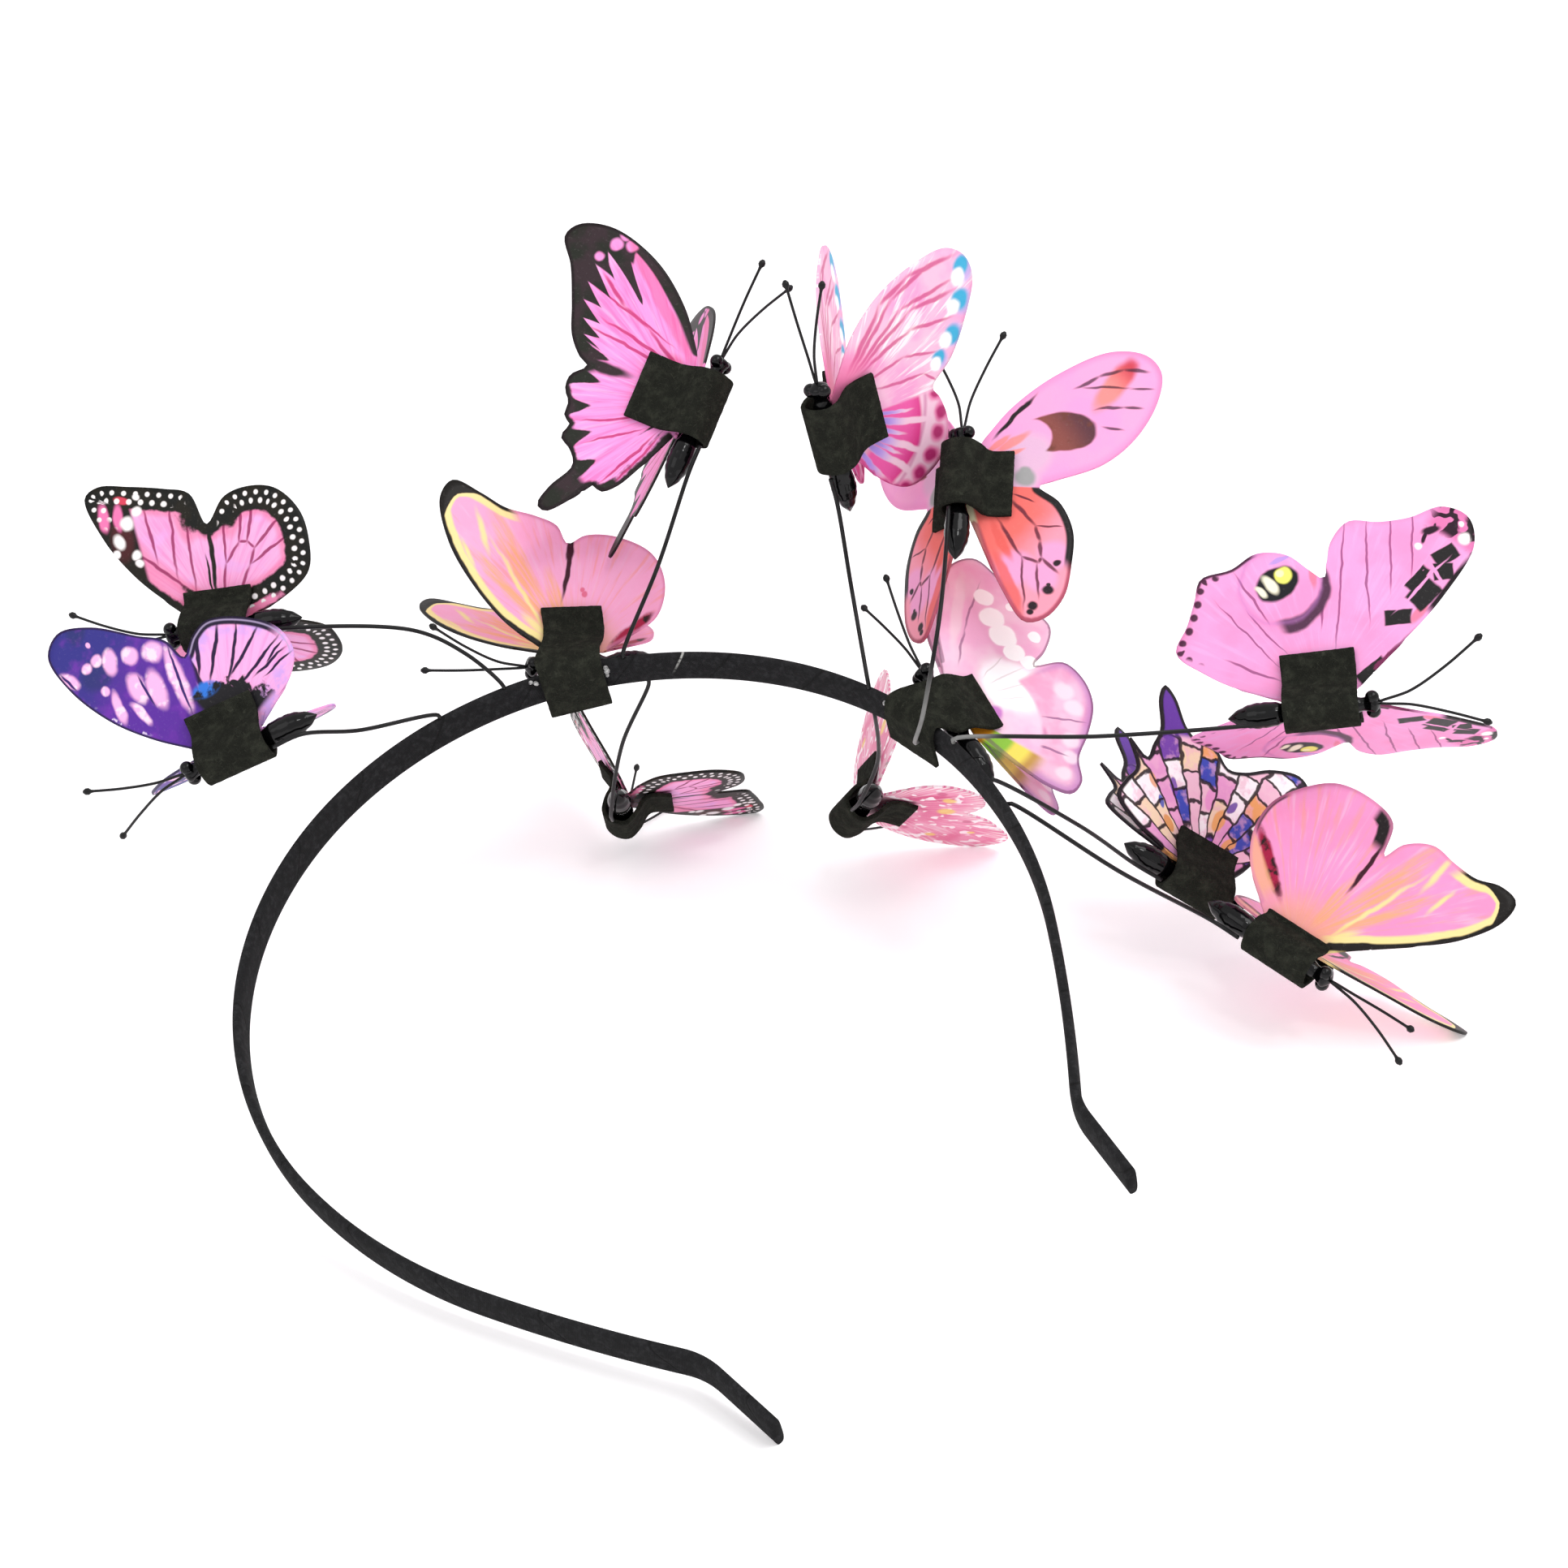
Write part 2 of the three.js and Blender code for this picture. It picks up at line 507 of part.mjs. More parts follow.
export default group;
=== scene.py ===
# A headband dressed with twelve printed butterflies, lying on a white table.
# Metres, +Z up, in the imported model's own frame.
import math
from types import SimpleNamespace

import bmesh
import bpy
import numpy as np
from mathutils import Matrix, Vector, noise


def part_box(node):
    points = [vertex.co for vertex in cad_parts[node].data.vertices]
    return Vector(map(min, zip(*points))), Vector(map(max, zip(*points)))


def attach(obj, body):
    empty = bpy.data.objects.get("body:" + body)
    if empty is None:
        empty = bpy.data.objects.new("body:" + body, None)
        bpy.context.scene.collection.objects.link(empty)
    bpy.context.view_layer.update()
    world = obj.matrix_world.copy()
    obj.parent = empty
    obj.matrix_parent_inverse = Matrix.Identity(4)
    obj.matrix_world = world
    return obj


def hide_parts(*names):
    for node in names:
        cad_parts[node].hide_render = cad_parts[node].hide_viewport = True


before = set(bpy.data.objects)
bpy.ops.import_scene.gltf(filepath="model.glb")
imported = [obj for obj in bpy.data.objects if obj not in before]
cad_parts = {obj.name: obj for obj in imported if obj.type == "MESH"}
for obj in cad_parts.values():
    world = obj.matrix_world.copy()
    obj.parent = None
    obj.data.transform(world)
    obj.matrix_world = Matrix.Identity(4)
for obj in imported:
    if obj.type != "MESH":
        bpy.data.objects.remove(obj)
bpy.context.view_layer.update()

# Headband
# A narrow sprung strip, wound slantwise from tip to tip with charcoal fabric tape.
# Each half is five spans of even bend, and both tips turn outwards at the ends.
MM = 0.001
BAND_ARM = 175
BAND_WIDTH = 5.8
BAND_THICKNESS = 1.6
BAND_SPAN_TURNS = (34, 31, 31, 23, 7)
TIP_LENGTH = 14.5
TIP_BEND = 28
TIP_BEND_LENGTH = 6
BAND_END = BAND_ARM + TIP_LENGTH
CAD_STATION = 8
FINE_STATION = 1.2
BAND_SIDES = 28
CROWN = Vector((-59, 41.5, 41))
BAND_AZIMUTH = math.radians(124.7)
BAND_RISE = math.radians(11.1)
BAND_ROLL = math.radians(19.4)
TAPE_PITCH = 17.0
TAPE_SLANT = 0.9
THREAD_STATION = 43.5
CHARCOAL = "1a1a1b"
CHARCOAL_LIGHT = "38383a"


def walk_band():
    """Spread, depth and turn along one half of the band, in short even steps."""
    step = 0.25
    span = BAND_ARM / len(BAND_SPAN_TURNS)
    rows = [(0.0, 0.0, 0.0, 0.0)]
    for k in range(int(BAND_END / step) + 8):
        s, spread, depth, turn = rows[-1]
        rate = 0.0
        if s < BAND_ARM - TIP_BEND_LENGTH / 2:
            rate = BAND_SPAN_TURNS[int(s / span)] / span
        elif s < BAND_ARM + TIP_BEND_LENGTH / 2:
            rate = -TIP_BEND / TIP_BEND_LENGTH
        middle = math.radians(turn + rate * step / 2)
        rows.append((s + step, spread + step * math.cos(middle), depth + step * math.sin(middle), turn + rate * step))
    return np.array(rows).T


band_table = walk_band()
band_out = Vector((math.cos(BAND_AZIMUTH) * math.cos(BAND_RISE), math.sin(BAND_AZIMUTH) * math.cos(BAND_RISE), math.sin(BAND_RISE)))
band_side = Vector((math.sin(BAND_AZIMUTH), -math.cos(BAND_AZIMUTH), 0))
band_side = Matrix.Rotation(-BAND_ROLL, 3, band_out) @ band_side
if band_side.z < 0:
    band_side = Matrix.Rotation(2 * BAND_ROLL, 3, band_out) @ band_side
band_face = band_out.cross(band_side).normalized()


def band_point(distance, outward, across):
    """A point on or near the band, in millimetres, before the piece is moved to its frame."""
    spread, depth, turn = (np.interp(abs(distance), band_table[0], row) for row in band_table[1:])
    side = -1 if distance < 0 else 1
    lean = math.radians(turn)
    return (CROWN + band_side * (side * (spread + outward * math.sin(lean)))
            + band_out * (-depth + outward * math.cos(lean)) + band_face * across)


cad_rings = round(2 * BAND_END / CAD_STATION)
SOFT_EDGE = BAND_THICKNESS / 2 * 0.6
cad_corners = [band_point(-BAND_END + 2 * BAND_END * i / cad_rings, outward, across) for i in range(cad_rings + 1)
               for outward in (-BAND_THICKNESS / 2, BAND_THICKNESS / 2)
               for across in (SOFT_EDGE - BAND_WIDTH / 2, BAND_WIDTH / 2 - SOFT_EDGE)]
cad_corners += [band_point(-BAND_END + 2 * BAND_END * i / cad_rings, outward, across) for i in range(cad_rings + 1)
                for outward in (-SOFT_EDGE * 0.6, SOFT_EDGE * 0.6) for across in (-BAND_WIDTH / 2, BAND_WIDTH / 2)]
box_low, box_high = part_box("headband_band")
TO_FRAME = Vector([(box_low[i] + box_high[i]) / 2 / MM - (min(p[i] for p in cad_corners) + max(p[i] for p in cad_corners)) / 2
                   for i in range(3)])


def settled(point):
    """Millimetres as laid out become metres in the frame."""
    return (point + TO_FRAME) * MM


def sweep(bm, rings):
    """Extrudes a face from ring to ring, so that equal rings of points become one closed tube."""
    cap = bm.faces.new([bm.verts.new(p) for p in rings[0]])
    tracks = [list(cap.verts)]
    for ring in rings[1:]:
        cap = bmesh.ops.extrude_discrete_faces(bm, faces=[cap])["faces"][0]
        for vert, place in zip(cap.verts, ring):
            vert.co = place
        tracks.append(list(cap.verts))
    bmesh.ops.holes_fill(bm, edges=[e for e in bm.edges if e.is_boundary])
    bmesh.ops.recalc_face_normals(bm, faces=bm.faces)
    return tracks


def make_piece(name, bm, material, body_slot, *nodes):
    """Turns a finished bmesh into a smooth piece that stands for its solids."""
    mesh = bpy.data.meshes.new(name)
    bm.to_mesh(mesh)
    bm.free()
    mesh.polygons.foreach_set("use_smooth", [True] * len(mesh.polygons))
    piece = bpy.data.objects.new(name, mesh)
    bpy.context.scene.collection.objects.link(piece)
    mesh.materials.append(material)
    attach(piece, "root")
    if nodes:
        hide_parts(*nodes)
    return piece


class Shade:
    """One output of a shader node, on which sums can be done."""

    def __init__(self, tree, socket=None):
        self.tree, self.socket = tree, socket

    def node(self, kind, settings, values, output=0):
        made = self.tree.nodes.new("ShaderNode" + kind)
        for name, value in settings.items():
            if name == "stops":
                while len(made.color_ramp.elements) < len(value):
                    made.color_ramp.elements.new(0.5)
                for element, (place, tone) in zip(made.color_ramp.elements, value):
                    element.position, element.color = place, tone
            else:
                setattr(made, name, value)
        for name, value in values.items():
            if isinstance(value, Shade):
                self.tree.links.new(value.socket, made.inputs[name])
            elif value is not None:
                made.inputs[name].default_value = value
        return Shade(self.tree, made.outputs[output])

    def math(self, operation, first, second=None):
        return self.node("Math", {"operation": operation}, {0: first, 1: second})

    def __add__(self, other):
        return self.math("ADD", self, other)

    def __radd__(self, other):
        return self.math("ADD", other, self)

    def __sub__(self, other):
        return self.math("SUBTRACT", self, other)

    def __rsub__(self, other):
        return self.math("SUBTRACT", other, self)

    def __mul__(self, other):
        return self.math("MULTIPLY", self, other)

    def __rmul__(self, other):
        return self.math("MULTIPLY", other, self)

    def __truediv__(self, other):
        return self.math("DIVIDE", self, other)

    def __pow__(self, other):
        return self.math("POWER", self, other)

    def __or__(self, other):
        return self.math("MAXIMUM", self, other)

    def __and__(self, other):
        return self.math("MINIMUM", self, other)

    def __abs__(self):
        return self.math("ABSOLUTE", self)


def ink(code):
    """A colour written as on a paint chart becomes linear light."""
    parts = [int(code[i:i + 2], 16) / 255 for i in (0, 2, 4)]
    return (*[c / 12.92 if c <= 0.04045 else ((c + 0.055) / 1.055) ** 2.4 for c in parts], 1)


def fade(value, none, full):
    """Rises smoothly from nothing at the first value to all at the second."""
    return value.node("MapRange", {"interpolation_type": "SMOOTHSTEP"}, {0: value, 1: none, 2: full})


def over(under, top, mask):
    """Lays the top colour over the one under it where the mask is."""
    under, top = (ink(c) if isinstance(c, str) else c for c in (under, top))
    return mask.node("Mix", {"data_type": "RGBA"}, {0: mask, 6: under, 7: top}, 2)


def grain(place, scale, detail=3.0, rough=0.55):
    """Soft noise about a half."""
    return place.node("TexNoise", {}, {"Vector": place, "Scale": scale, "Detail": detail, "Roughness": rough})


def blank_material(name):
    """A material with only its surface shader, and a shade to start its sums from."""
    material = bpy.data.materials.new(name)
    material.use_nodes = True
    return material, Shade(material.node_tree)


def coat(material, fixed, varied, height=None, depth=0.1 * MM):
    """Sets the surface shader's fixed numbers and links what changes over the surface."""
    surface = material.node_tree.nodes["Principled BSDF"]
    for name, value in fixed.items():
        surface.inputs[name].default_value = value
    for name, shade in varied.items():
        material.node_tree.links.new(shade.socket, surface.inputs[name])
    if height is not None:
        bump = height.node("Bump", {}, {"Height": height, "Distance": depth, "Strength": 1.0})
        material.node_tree.links.new(bump.socket, surface.inputs["Normal"])
    return material


def fabric_tape():
    """Close twill with slanted overlaps, and a painted sheen that lightens both edges."""
    material, start = blank_material("charcoal_tape")
    along, across, out = (start.node("SeparateXYZ", {}, {0: start.node("Attribute", {"attribute_name": "strip"}, {}, "Vector")}, axis)
                          for axis in range(3))
    place = start.node("TexCoord", {}, {}, "Object")
    slanted = (along + across * TAPE_SLANT) / TAPE_PITCH
    lap = start.math("FRACT", slanted)
    seam = fade(abs(lap - 0.5), 0.478, 0.497)
    thread = start.math("SINE", (along + across * 0.6) * 15.0) * start.math("SINE", (across - along * 0.25) * 13.0)
    mottle = grain(place, 900.0, 4.0, 0.7)
    # Painted sheen: both long edges of the tape are made a little lighter.
    edge_sheen = fade(abs(across), BAND_WIDTH / 2 - 0.9, BAND_WIDTH / 2)
    tone = over(CHARCOAL, CHARCOAL_LIGHT, fade(mottle, 0.42, 0.78) * 0.55 + edge_sheen * 0.12)
    tone = over(tone, "161616", seam * 0.7)
    thread_line = fade(abs(along - THREAD_STATION + across * 0.6), 0.30, 0.10)
    tone = over(tone, "b4b4b0", thread_line * fade(mottle, 0.35, 0.5) * fade(across, 1.5, -2.6) * 0.85)
    height = thread * 0.3 + mottle * 0.9 + fade(lap, 0.0, 0.14) * 1.2 - seam * 1.4
    return coat(material, {"Roughness": 0.95, "Specular IOR Level": 0.12},
                {"Base Color": tone}, height, 0.09 * MM)


def band_ring(distance):
    """A rounded strip section, as points and as its own along, across and outward places."""
    points, strips = [], []
    for k in range(BAND_SIDES):
        turn = 2 * math.pi * k / BAND_SIDES
        c, s = math.cos(turn), math.sin(turn)
        across = math.copysign(abs(c) ** 0.62, c) * BAND_WIDTH / 2
        outward = math.copysign(abs(s) ** 0.62, s) * BAND_THICKNESS / 2
        points.append(settled(band_point(distance, outward, across)))
        strips.append((distance, across, outward))
    return points, strips


bm = bmesh.new()
strip = bm.verts.layers.float_vector.new("strip")
stations = np.linspace(-BAND_END, BAND_END, round(2 * BAND_END / FINE_STATION))
rings = [band_ring(s) for s in stations]
tracks = sweep(bm, [points for points, strips in rings])
for track, (points, strips) in zip(tracks, rings):
    for vert, value in zip(track, strips):
        vert[strip] = value
band_piece = make_piece("band_cover", bm, fabric_tape(), "band_fabric", "headband_band")

# Butterflies
# Each is a moulded body on a folded sheet of printed film. Angles turn the body, and rise lifts each wing.
# Feelers are the side places of both antenna tips and their lift; leaves are the felt's two lengths.
FILM = 0.5
GAP = 0.3
WING_CURL = 2.2
ROOT_FRONT, ROOT_BACK = 4.5, 5.0
BODY_RADIUS = 2.2
HEAD_REACH, TAIL_REACH = 9.5, 15.0
BODY_AXIS = FILM / 2 + GAP + BODY_RADIUS
BUTTERFLIES = [
    SimpleNamespace(name="monarch", outline="monarch", heading=175, pitch=-10, roll=84,
                    rise=34, reach=34, feelers=(-4, 5, 3), leaves=(5.5, 8)),
    SimpleNamespace(name="indigo", outline="indigo", heading=-175, pitch=-24, roll=73,
                    rise=44, reach=35, feelers=(-2, 8, 3), leaves=(6.5, 8)),
    SimpleNamespace(name="blush", outline="blush", heading=-160, pitch=6, roll=66,
                    rise=60, reach=36.5, feelers=(-6, 3, 4), leaves=(8, 8)),
    SimpleNamespace(name="swallowtail", outline="swallowtail", heading=56, pitch=49, roll=-98,
                    rise=51, reach=37, feelers=(-4, 3, -4), leaves=(8, 9.5)),
    SimpleNamespace(name="dotted", outline="dotted", heading=-144, pitch=73, roll=24,
                    rise=63, reach=35, feelers=(-3, 2, 3), leaves=(8, 8)),
    SimpleNamespace(name="crescent", outline="crescent", heading=84, pitch=42, roll=152,
                    rise=26, reach=38.6, feelers=(-6, 6, 0), leaves=(7.5, 8)),
    SimpleNamespace(name="pearl", outline="pearl", heading=122, pitch=32, roll=103,
                    rise=72, reach=33.6, feelers=(-3, 3, 0), leaves=(5, 5)),
    SimpleNamespace(name="peacock", outline="peacock", heading=-11, pitch=12, roll=-86,
                    rise=40, reach=38, feelers=(-6, 8, 2), leaves=(8, 8)),
    SimpleNamespace(name="tailed", outline="tailed", heading=2, pitch=-33, roll=-65,
                    rise=73, reach=32.5, feelers=(-2, 2, -0.5), leaves=(8, 6)),
    SimpleNamespace(name="petal", outline="petal", heading=-40, pitch=-15, roll=-80,
                    rise=48, reach=35.8, feelers=(-2, 4, -4), leaves=(8, 2.6)),
    SimpleNamespace(name="resting", outline="monarch", heading=90, pitch=-40, roll=26,
                    rise=31, reach=32.5, feelers=(-5, 5, 15), leaves=(8, 8)),
    SimpleNamespace(name="speckled", outline="dotted", heading=108, pitch=-41, roll=65,
                    rise=46, reach=32.5, feelers=(-7, 5, 19), leaves=(8, 8)),
]
# Head, neck, thorax, waist and abdomen of the plain solid, front to back, by share of reach and radius
PLAIN_BODY = ((1, 0.4), (0.88, 0.8), (0.7, 0.5), (0.5, 0.75), (0.1, 1), (-0.22, 0.9), (-0.33, 0.55),
              (-0.5, 0.9), (-0.7, 0.95), (-0.88, 0.6), (-1, 0.15))
PLAIN_SIDES = 7


def body_frame(butterfly):
    """The body's own directions: nose ahead, right out, back up, as laid out in millimetres."""
    heading, pitch, roll = (math.radians(a) for a in (butterfly.heading, butterfly.pitch, butterfly.roll))
    nose = Vector((math.cos(heading) * math.cos(pitch), math.sin(heading) * math.cos(pitch), math.sin(pitch)))
    back = Vector((-math.cos(heading) * math.sin(pitch), -math.sin(heading) * math.sin(pitch), math.cos(pitch)))
    back = Matrix.Rotation(roll, 3, nose) @ back
    return nose, nose.cross(back), back


def seat(butterfly):
    """Sets how a place on the butterfly, as ahead, side and up, becomes a place in the frame."""
    nose, right, back = body_frame(butterfly)
    corners = []
    for along, share in PLAIN_BODY:
        ahead = along * (HEAD_REACH if along > 0 else TAIL_REACH)
        for k in range(PLAIN_SIDES):
            turn = 2 * math.pi * k / PLAIN_SIDES
            corners.append(nose * ahead + right * (share * BODY_RADIUS * math.cos(turn))
                           + back * (share * BODY_RADIUS * math.sin(turn) - BODY_AXIS))
    low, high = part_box(butterfly.name + "_body")
    middle = Vector([(low[i] + high[i]) / 2 / MM - (min(c[i] for c in corners) + max(c[i] for c in corners)) / 2
                     for i in range(3)])
    butterfly.place = lambda ahead, side, up: (middle + nose * ahead + right * side + back * up) * MM
    butterfly.axes = (nose, right, back)


for butterfly in BUTTERFLIES:
    seat(butterfly)

# Wings
# One sheet of thin printed film makes both pairs; it is folded at the body and curls up a little outwards.
# A row of an outline is an angle from straight out towards the head, then the reach there as a share.
OUTLINES = {
    "monarch": ((75, 0.16), (64, 0.32), (57, 0.52), (50, 0.76), (43, 0.98), (38, 0.97), (30, 0.86), (19, 0.75),
                (10, 0.68), (4, 0.5), (-6, 0.63), (-16, 0.69), (-28, 0.72), (-42, 0.68), (-55, 0.6), (-68, 0.51),
                (-78, 0.32), (-86, 0.17)),
    "indigo": ((78, 0.2), (66, 0.38), (58, 0.6), (50, 0.83), (43, 0.99), (36, 1), (29, 0.88), (20, 0.68),
               (12, 0.58), (8, 0.46), (-1, 0.53), (-10, 0.58), (-28, 0.58), (-45, 0.57), (-58, 0.51), (-67, 0.38),
               (-72, 0.2)),
    "blush": ((75, 0.17), (64, 0.34), (53, 0.55), (44, 0.78), (35, 0.97), (29, 1), (24, 0.88), (19, 0.77),
              (9, 0.69), (1, 0.63), (-3, 0.54), (-12, 0.59), (-26, 0.63), (-43, 0.65), (-56, 0.59), (-69, 0.46),
              (-76, 0.28), (-84, 0.17)),
    "swallowtail": ((76, 0.26), (66, 0.46), (56, 0.7), (46, 0.91), (38, 1), (33, 0.99), (29, 0.86), (20, 0.72),
                    (10, 0.63), (3, 0.55), (0, 0.5), (-7, 0.56), (-14, 0.57), (-20, 0.55), (-27, 0.57), (-31, 0.55),
                    (-36, 0.6), (-43, 0.58), (-50, 0.6), (-53, 0.74), (-56, 0.83), (-59, 0.82), (-61, 0.72),
                    (-62, 0.58), (-67, 0.57), (-71, 0.5), (-75, 0.34), (-80, 0.18)),
    "dotted": ((75, 0.22), (63, 0.42), (52, 0.62), (42, 0.8), (33, 0.96), (26, 1), (19, 0.97), (10, 0.83),
               (0, 0.69), (-9, 0.56), (-15, 0.6), (-26, 0.66), (-38, 0.68), (-50, 0.64), (-60, 0.57), (-68, 0.42),
               (-73, 0.24), (-80, 0.15)),
    "crescent": ((75, 0.24), (66, 0.42), (57, 0.66), (49, 0.9), (42, 1), (36, 1), (29, 0.91), (20, 0.75),
                 (12, 0.58), (5, 0.36), (1, 0.3), (-10, 0.4), (-24, 0.5), (-38, 0.58), (-50, 0.67), (-60, 0.71),
                 (-67, 0.69), (-71, 0.52), (-74, 0.34), (-78, 0.19)),
    "pearl": ((78, 0.3), (75, 0.48), (70, 0.68), (64, 0.9), (56, 0.98), (47, 0.9), (36, 0.82), (24, 0.79),
              (17, 0.64), (14, 0.52), (8, 0.68), (-2, 0.72), (-14, 0.71), (-30, 0.65), (-45, 0.62), (-56, 0.68),
              (-64, 0.67), (-69, 0.55), (-72, 0.36), (-76, 0.18)),
    "peacock": ((64, 0.26), (58, 0.46), (54, 0.68), (49, 0.92), (43, 1), (36, 0.98), (30, 0.88), (22, 0.82),
                (13, 0.8), (8, 0.7), (6, 0.54), (0, 0.58), (-8, 0.67), (-18, 0.72), (-28, 0.71), (-38, 0.76),
                (-45, 0.71), (-54, 0.67), (-65, 0.66), (-70, 0.52), (-75, 0.36), (-78, 0.17)),
    "petal": ((66, 0.15), (62, 0.32), (60, 0.5), (57, 0.74), (52, 0.93), (47, 1), (42, 0.95), (38, 0.86), (31, 0.8),
              (22, 0.76), (15, 0.66), (13, 0.56), (6, 0.7), (-4, 0.74), (-19, 0.76), (-33, 0.71), (-43, 0.66),
              (-53, 0.56), (-62, 0.42), (-70, 0.24)),
    "tailed": ((72, 0.2), (50, 0.45), (40, 0.75), (33, 0.95), (27, 0.97), (18, 0.85), (8, 0.7), (0, 0.66),
               (-8, 0.74), (-18, 0.76), (-22, 0.82), (-25, 0.98), (-28, 1.05), (-31, 0.98), (-34, 0.8), (-40, 0.72),
               (-46, 0.66), (-50, 0.8), (-54, 0.64), (-64, 0.62), (-74, 0.6), (-80, 0.45), (-84, 0.25)),
}
FINE_COLUMNS = 120
FINE_ROWS = 22
SHOWN_FILM = 0.4
WARM_INK = (0.92, 0.89, 0.85, 1)


def smooth_line(points, count):
    """Points evenly spaced on the rounded curve that runs through the given ones."""
    chain = [2 * points[0] - points[1], *points, 2 * points[-1] - points[-2]]
    dense = []
    for i in range(1, len(chain) - 2):
        a, b, c, d = chain[i - 1:i + 3]
        before, here, after = (max((q - p).length, 1e-9) ** 0.5 for p, q in ((a, b), (b, c), (c, d)))
        leave = ((b - a) / before - (c - a) / (before + here) + (c - b) / here) * here
        arrive = ((c - b) / here - (d - b) / (here + after) + (d - c) / after) * here
        for t in (k / 24 for k in range(24)):
            dense.append(b + leave * t + (3 * (c - b) - 2 * leave - arrive) * t * t
                         + (2 * (b - c) + leave + arrive) * t * t * t)
    dense.append(points[-1])
    lengths = np.cumsum([0.0] + [(q - p).length for p, q in zip(dense, dense[1:])])
    wanted = np.linspace(0, lengths[-1], count)
    table = np.array([list(p) for p in dense])
    return [Vector([np.interp(w, lengths, table[:, k]) for k in range(3)]) for w in wanted]


def outline(butterfly):
    """The cut edge of one wing pair, as ahead and out, in millimetres."""
    edge = [Vector((share * math.sin(math.radians(angle)), share * math.cos(math.radians(angle)), 0))
            for angle, share in OUTLINES[butterfly.outline]]
    return [p * butterfly.reach for p in smooth_line(edge, FINE_COLUMNS + 1)]


def beside_edge(corners, ahead, out):
    """How far a place is from the cut edge, and how far along the edge the nearest point lies."""
    spans = corners[1:] - corners[:-1]
    lengths = np.hypot(*spans.T)
    offsets = np.array((ahead, out)) - corners[:-1]
    shares = np.clip((offsets * spans).sum(axis=1) / lengths ** 2, 0, 1)
    away = np.hypot(*(offsets - spans * shares[:, None]).T)
    nearest = away.argmin()
    return away[nearest], lengths[:nearest].sum() + shares[nearest] * lengths[nearest]


def wing_sheet(butterfly):
    """A grid bent to the cut edge on both sides; the attributes keep where each point lies on its wing."""
    table = np.array([(p.x, p.y) for p in outline(butterfly)])
    lift = math.radians(butterfly.rise)
    bm = bmesh.new()
    spot = bm.verts.layers.float_vector.new("wing")
    rim = bm.verts.layers.float_vector.new("rim")
    bmesh.ops.create_grid(bm, x_segments=FINE_COLUMNS, y_segments=2 * FINE_ROWS, size=1)
    for vert in bm.verts:
        fan, part, side = (vert.co.x + 1) / 2, abs(vert.co.y), math.copysign(1, vert.co.y)
        tip_ahead, tip_out = (np.interp(fan * FINE_COLUMNS, range(FINE_COLUMNS + 1), table[:, k]) for k in (0, 1))
        root = ROOT_FRONT - (ROOT_FRONT + ROOT_BACK) * fan
        ahead, out = root + (tip_ahead - root) * part, tip_out * part
        curl = WING_CURL * (out / butterfly.reach) ** 2
        curl += 0.25 * part * noise.noise(Vector((ahead * 0.07, out * 0.07, butterfly.rise + side * 9)))
        vert[spot] = (out / butterfly.reach, ahead / butterfly.reach, 0)
        vert[rim] = (*beside_edge(table, ahead, out), 0)
        vert.co = butterfly.place(ahead, side * (out * math.cos(lift) - curl * math.sin(lift)),
                                  out * math.sin(lift) + curl * math.cos(lift))
    bmesh.ops.recalc_face_normals(bm, faces=bm.faces)
    return bm


def film_start(name):
    """A material for printed film, with the wing's own measures ready for its pattern."""
    material, start = blank_material(name)
    out, ahead = (start.node("SeparateXYZ", {}, {0: start.node("Attribute", {"attribute_name": "wing"}, {}, "Vector")}, k)
                  for k in range(2))
    margin, along = (start.node("SeparateXYZ", {}, {0: start.node("Attribute", {"attribute_name": "rim"}, {}, "Vector")}, k)
                     for k in range(2))
    angle = start.math("ARCTAN2", ahead, out) * (180 / math.pi)
    radius = start.math("SQRT", out * out + ahead * ahead)
    flat = start.node("CombineXYZ", {}, {0: out, 1: ahead})
    drift = flat.node("TexNoise", {}, {"Vector": flat, "Scale": 9.0, "Detail": 2.0}, 1)
    drift = flat.node("VectorMath", {"operation": "MULTIPLY_ADD"}, {0: drift, 1: (0.03, 0.03, 0), 2: (-0.015, -0.015, 0)})
    place = flat.node("VectorMath", {"operation": "ADD"}, {0: flat, 1: drift})
    rays = start.node("CombineXYZ", {}, {0: angle * 0.16, 1: radius * 1.3})
    return SimpleNamespace(material=material, start=start, out=out, ahead=ahead, margin=margin, along=along,
                           angle=angle, radius=radius, place=place, rays=rays)


def film_finish(wing, tone):
    """Prints the pattern on satin film with a fine printed grain."""
    speck = grain(wing.place, 60.0, 3.0, 0.7)
    tone = over(tone, "ffffff", fade(speck, 0.55, 0.85) * 0.06)
    inked = fade(tone.node("SeparateColor", {}, {0: tone}, 1), 0.92, 0.70)
    tone = tone.node("Mix", {"data_type": "RGBA", "blend_type": "MULTIPLY"}, {0: inked, 6: tone, 7: WARM_INK}, 2)
    fixed = {"Roughness": 0.5, "Specular IOR Level": 0.2, "Coat Weight": 0.05, "Coat Roughness": 0.35}
    return coat(wing.material, fixed, {"Base Color": tone}, speck, 0.03 * MM)


def on_wing(spot):
    """An angle and a reach become out and ahead."""
    return Vector((spot[1] * math.cos(math.radians(spot[0])), spot[1] * math.sin(math.radians(spot[0])), 0))


def patch(wing, start, end, width, soft=0.3):
    """A long oval between two places, each an angle and a reach."""
    a, b = on_wing(start), on_wing(end)
    local = wing.place.node("Mapping", {"vector_type": "TEXTURE"}, {
        "Vector": wing.place, "Location": (a + b) / 2, "Rotation": (0, 0, math.atan2(b.y - a.y, b.x - a.x)),
        "Scale": ((b - a).length / 2, width, 1)})
    return fade(local.node("VectorMath", {"operation": "LENGTH"}, {0: local}, 1), 1 + soft, 1 - soft)


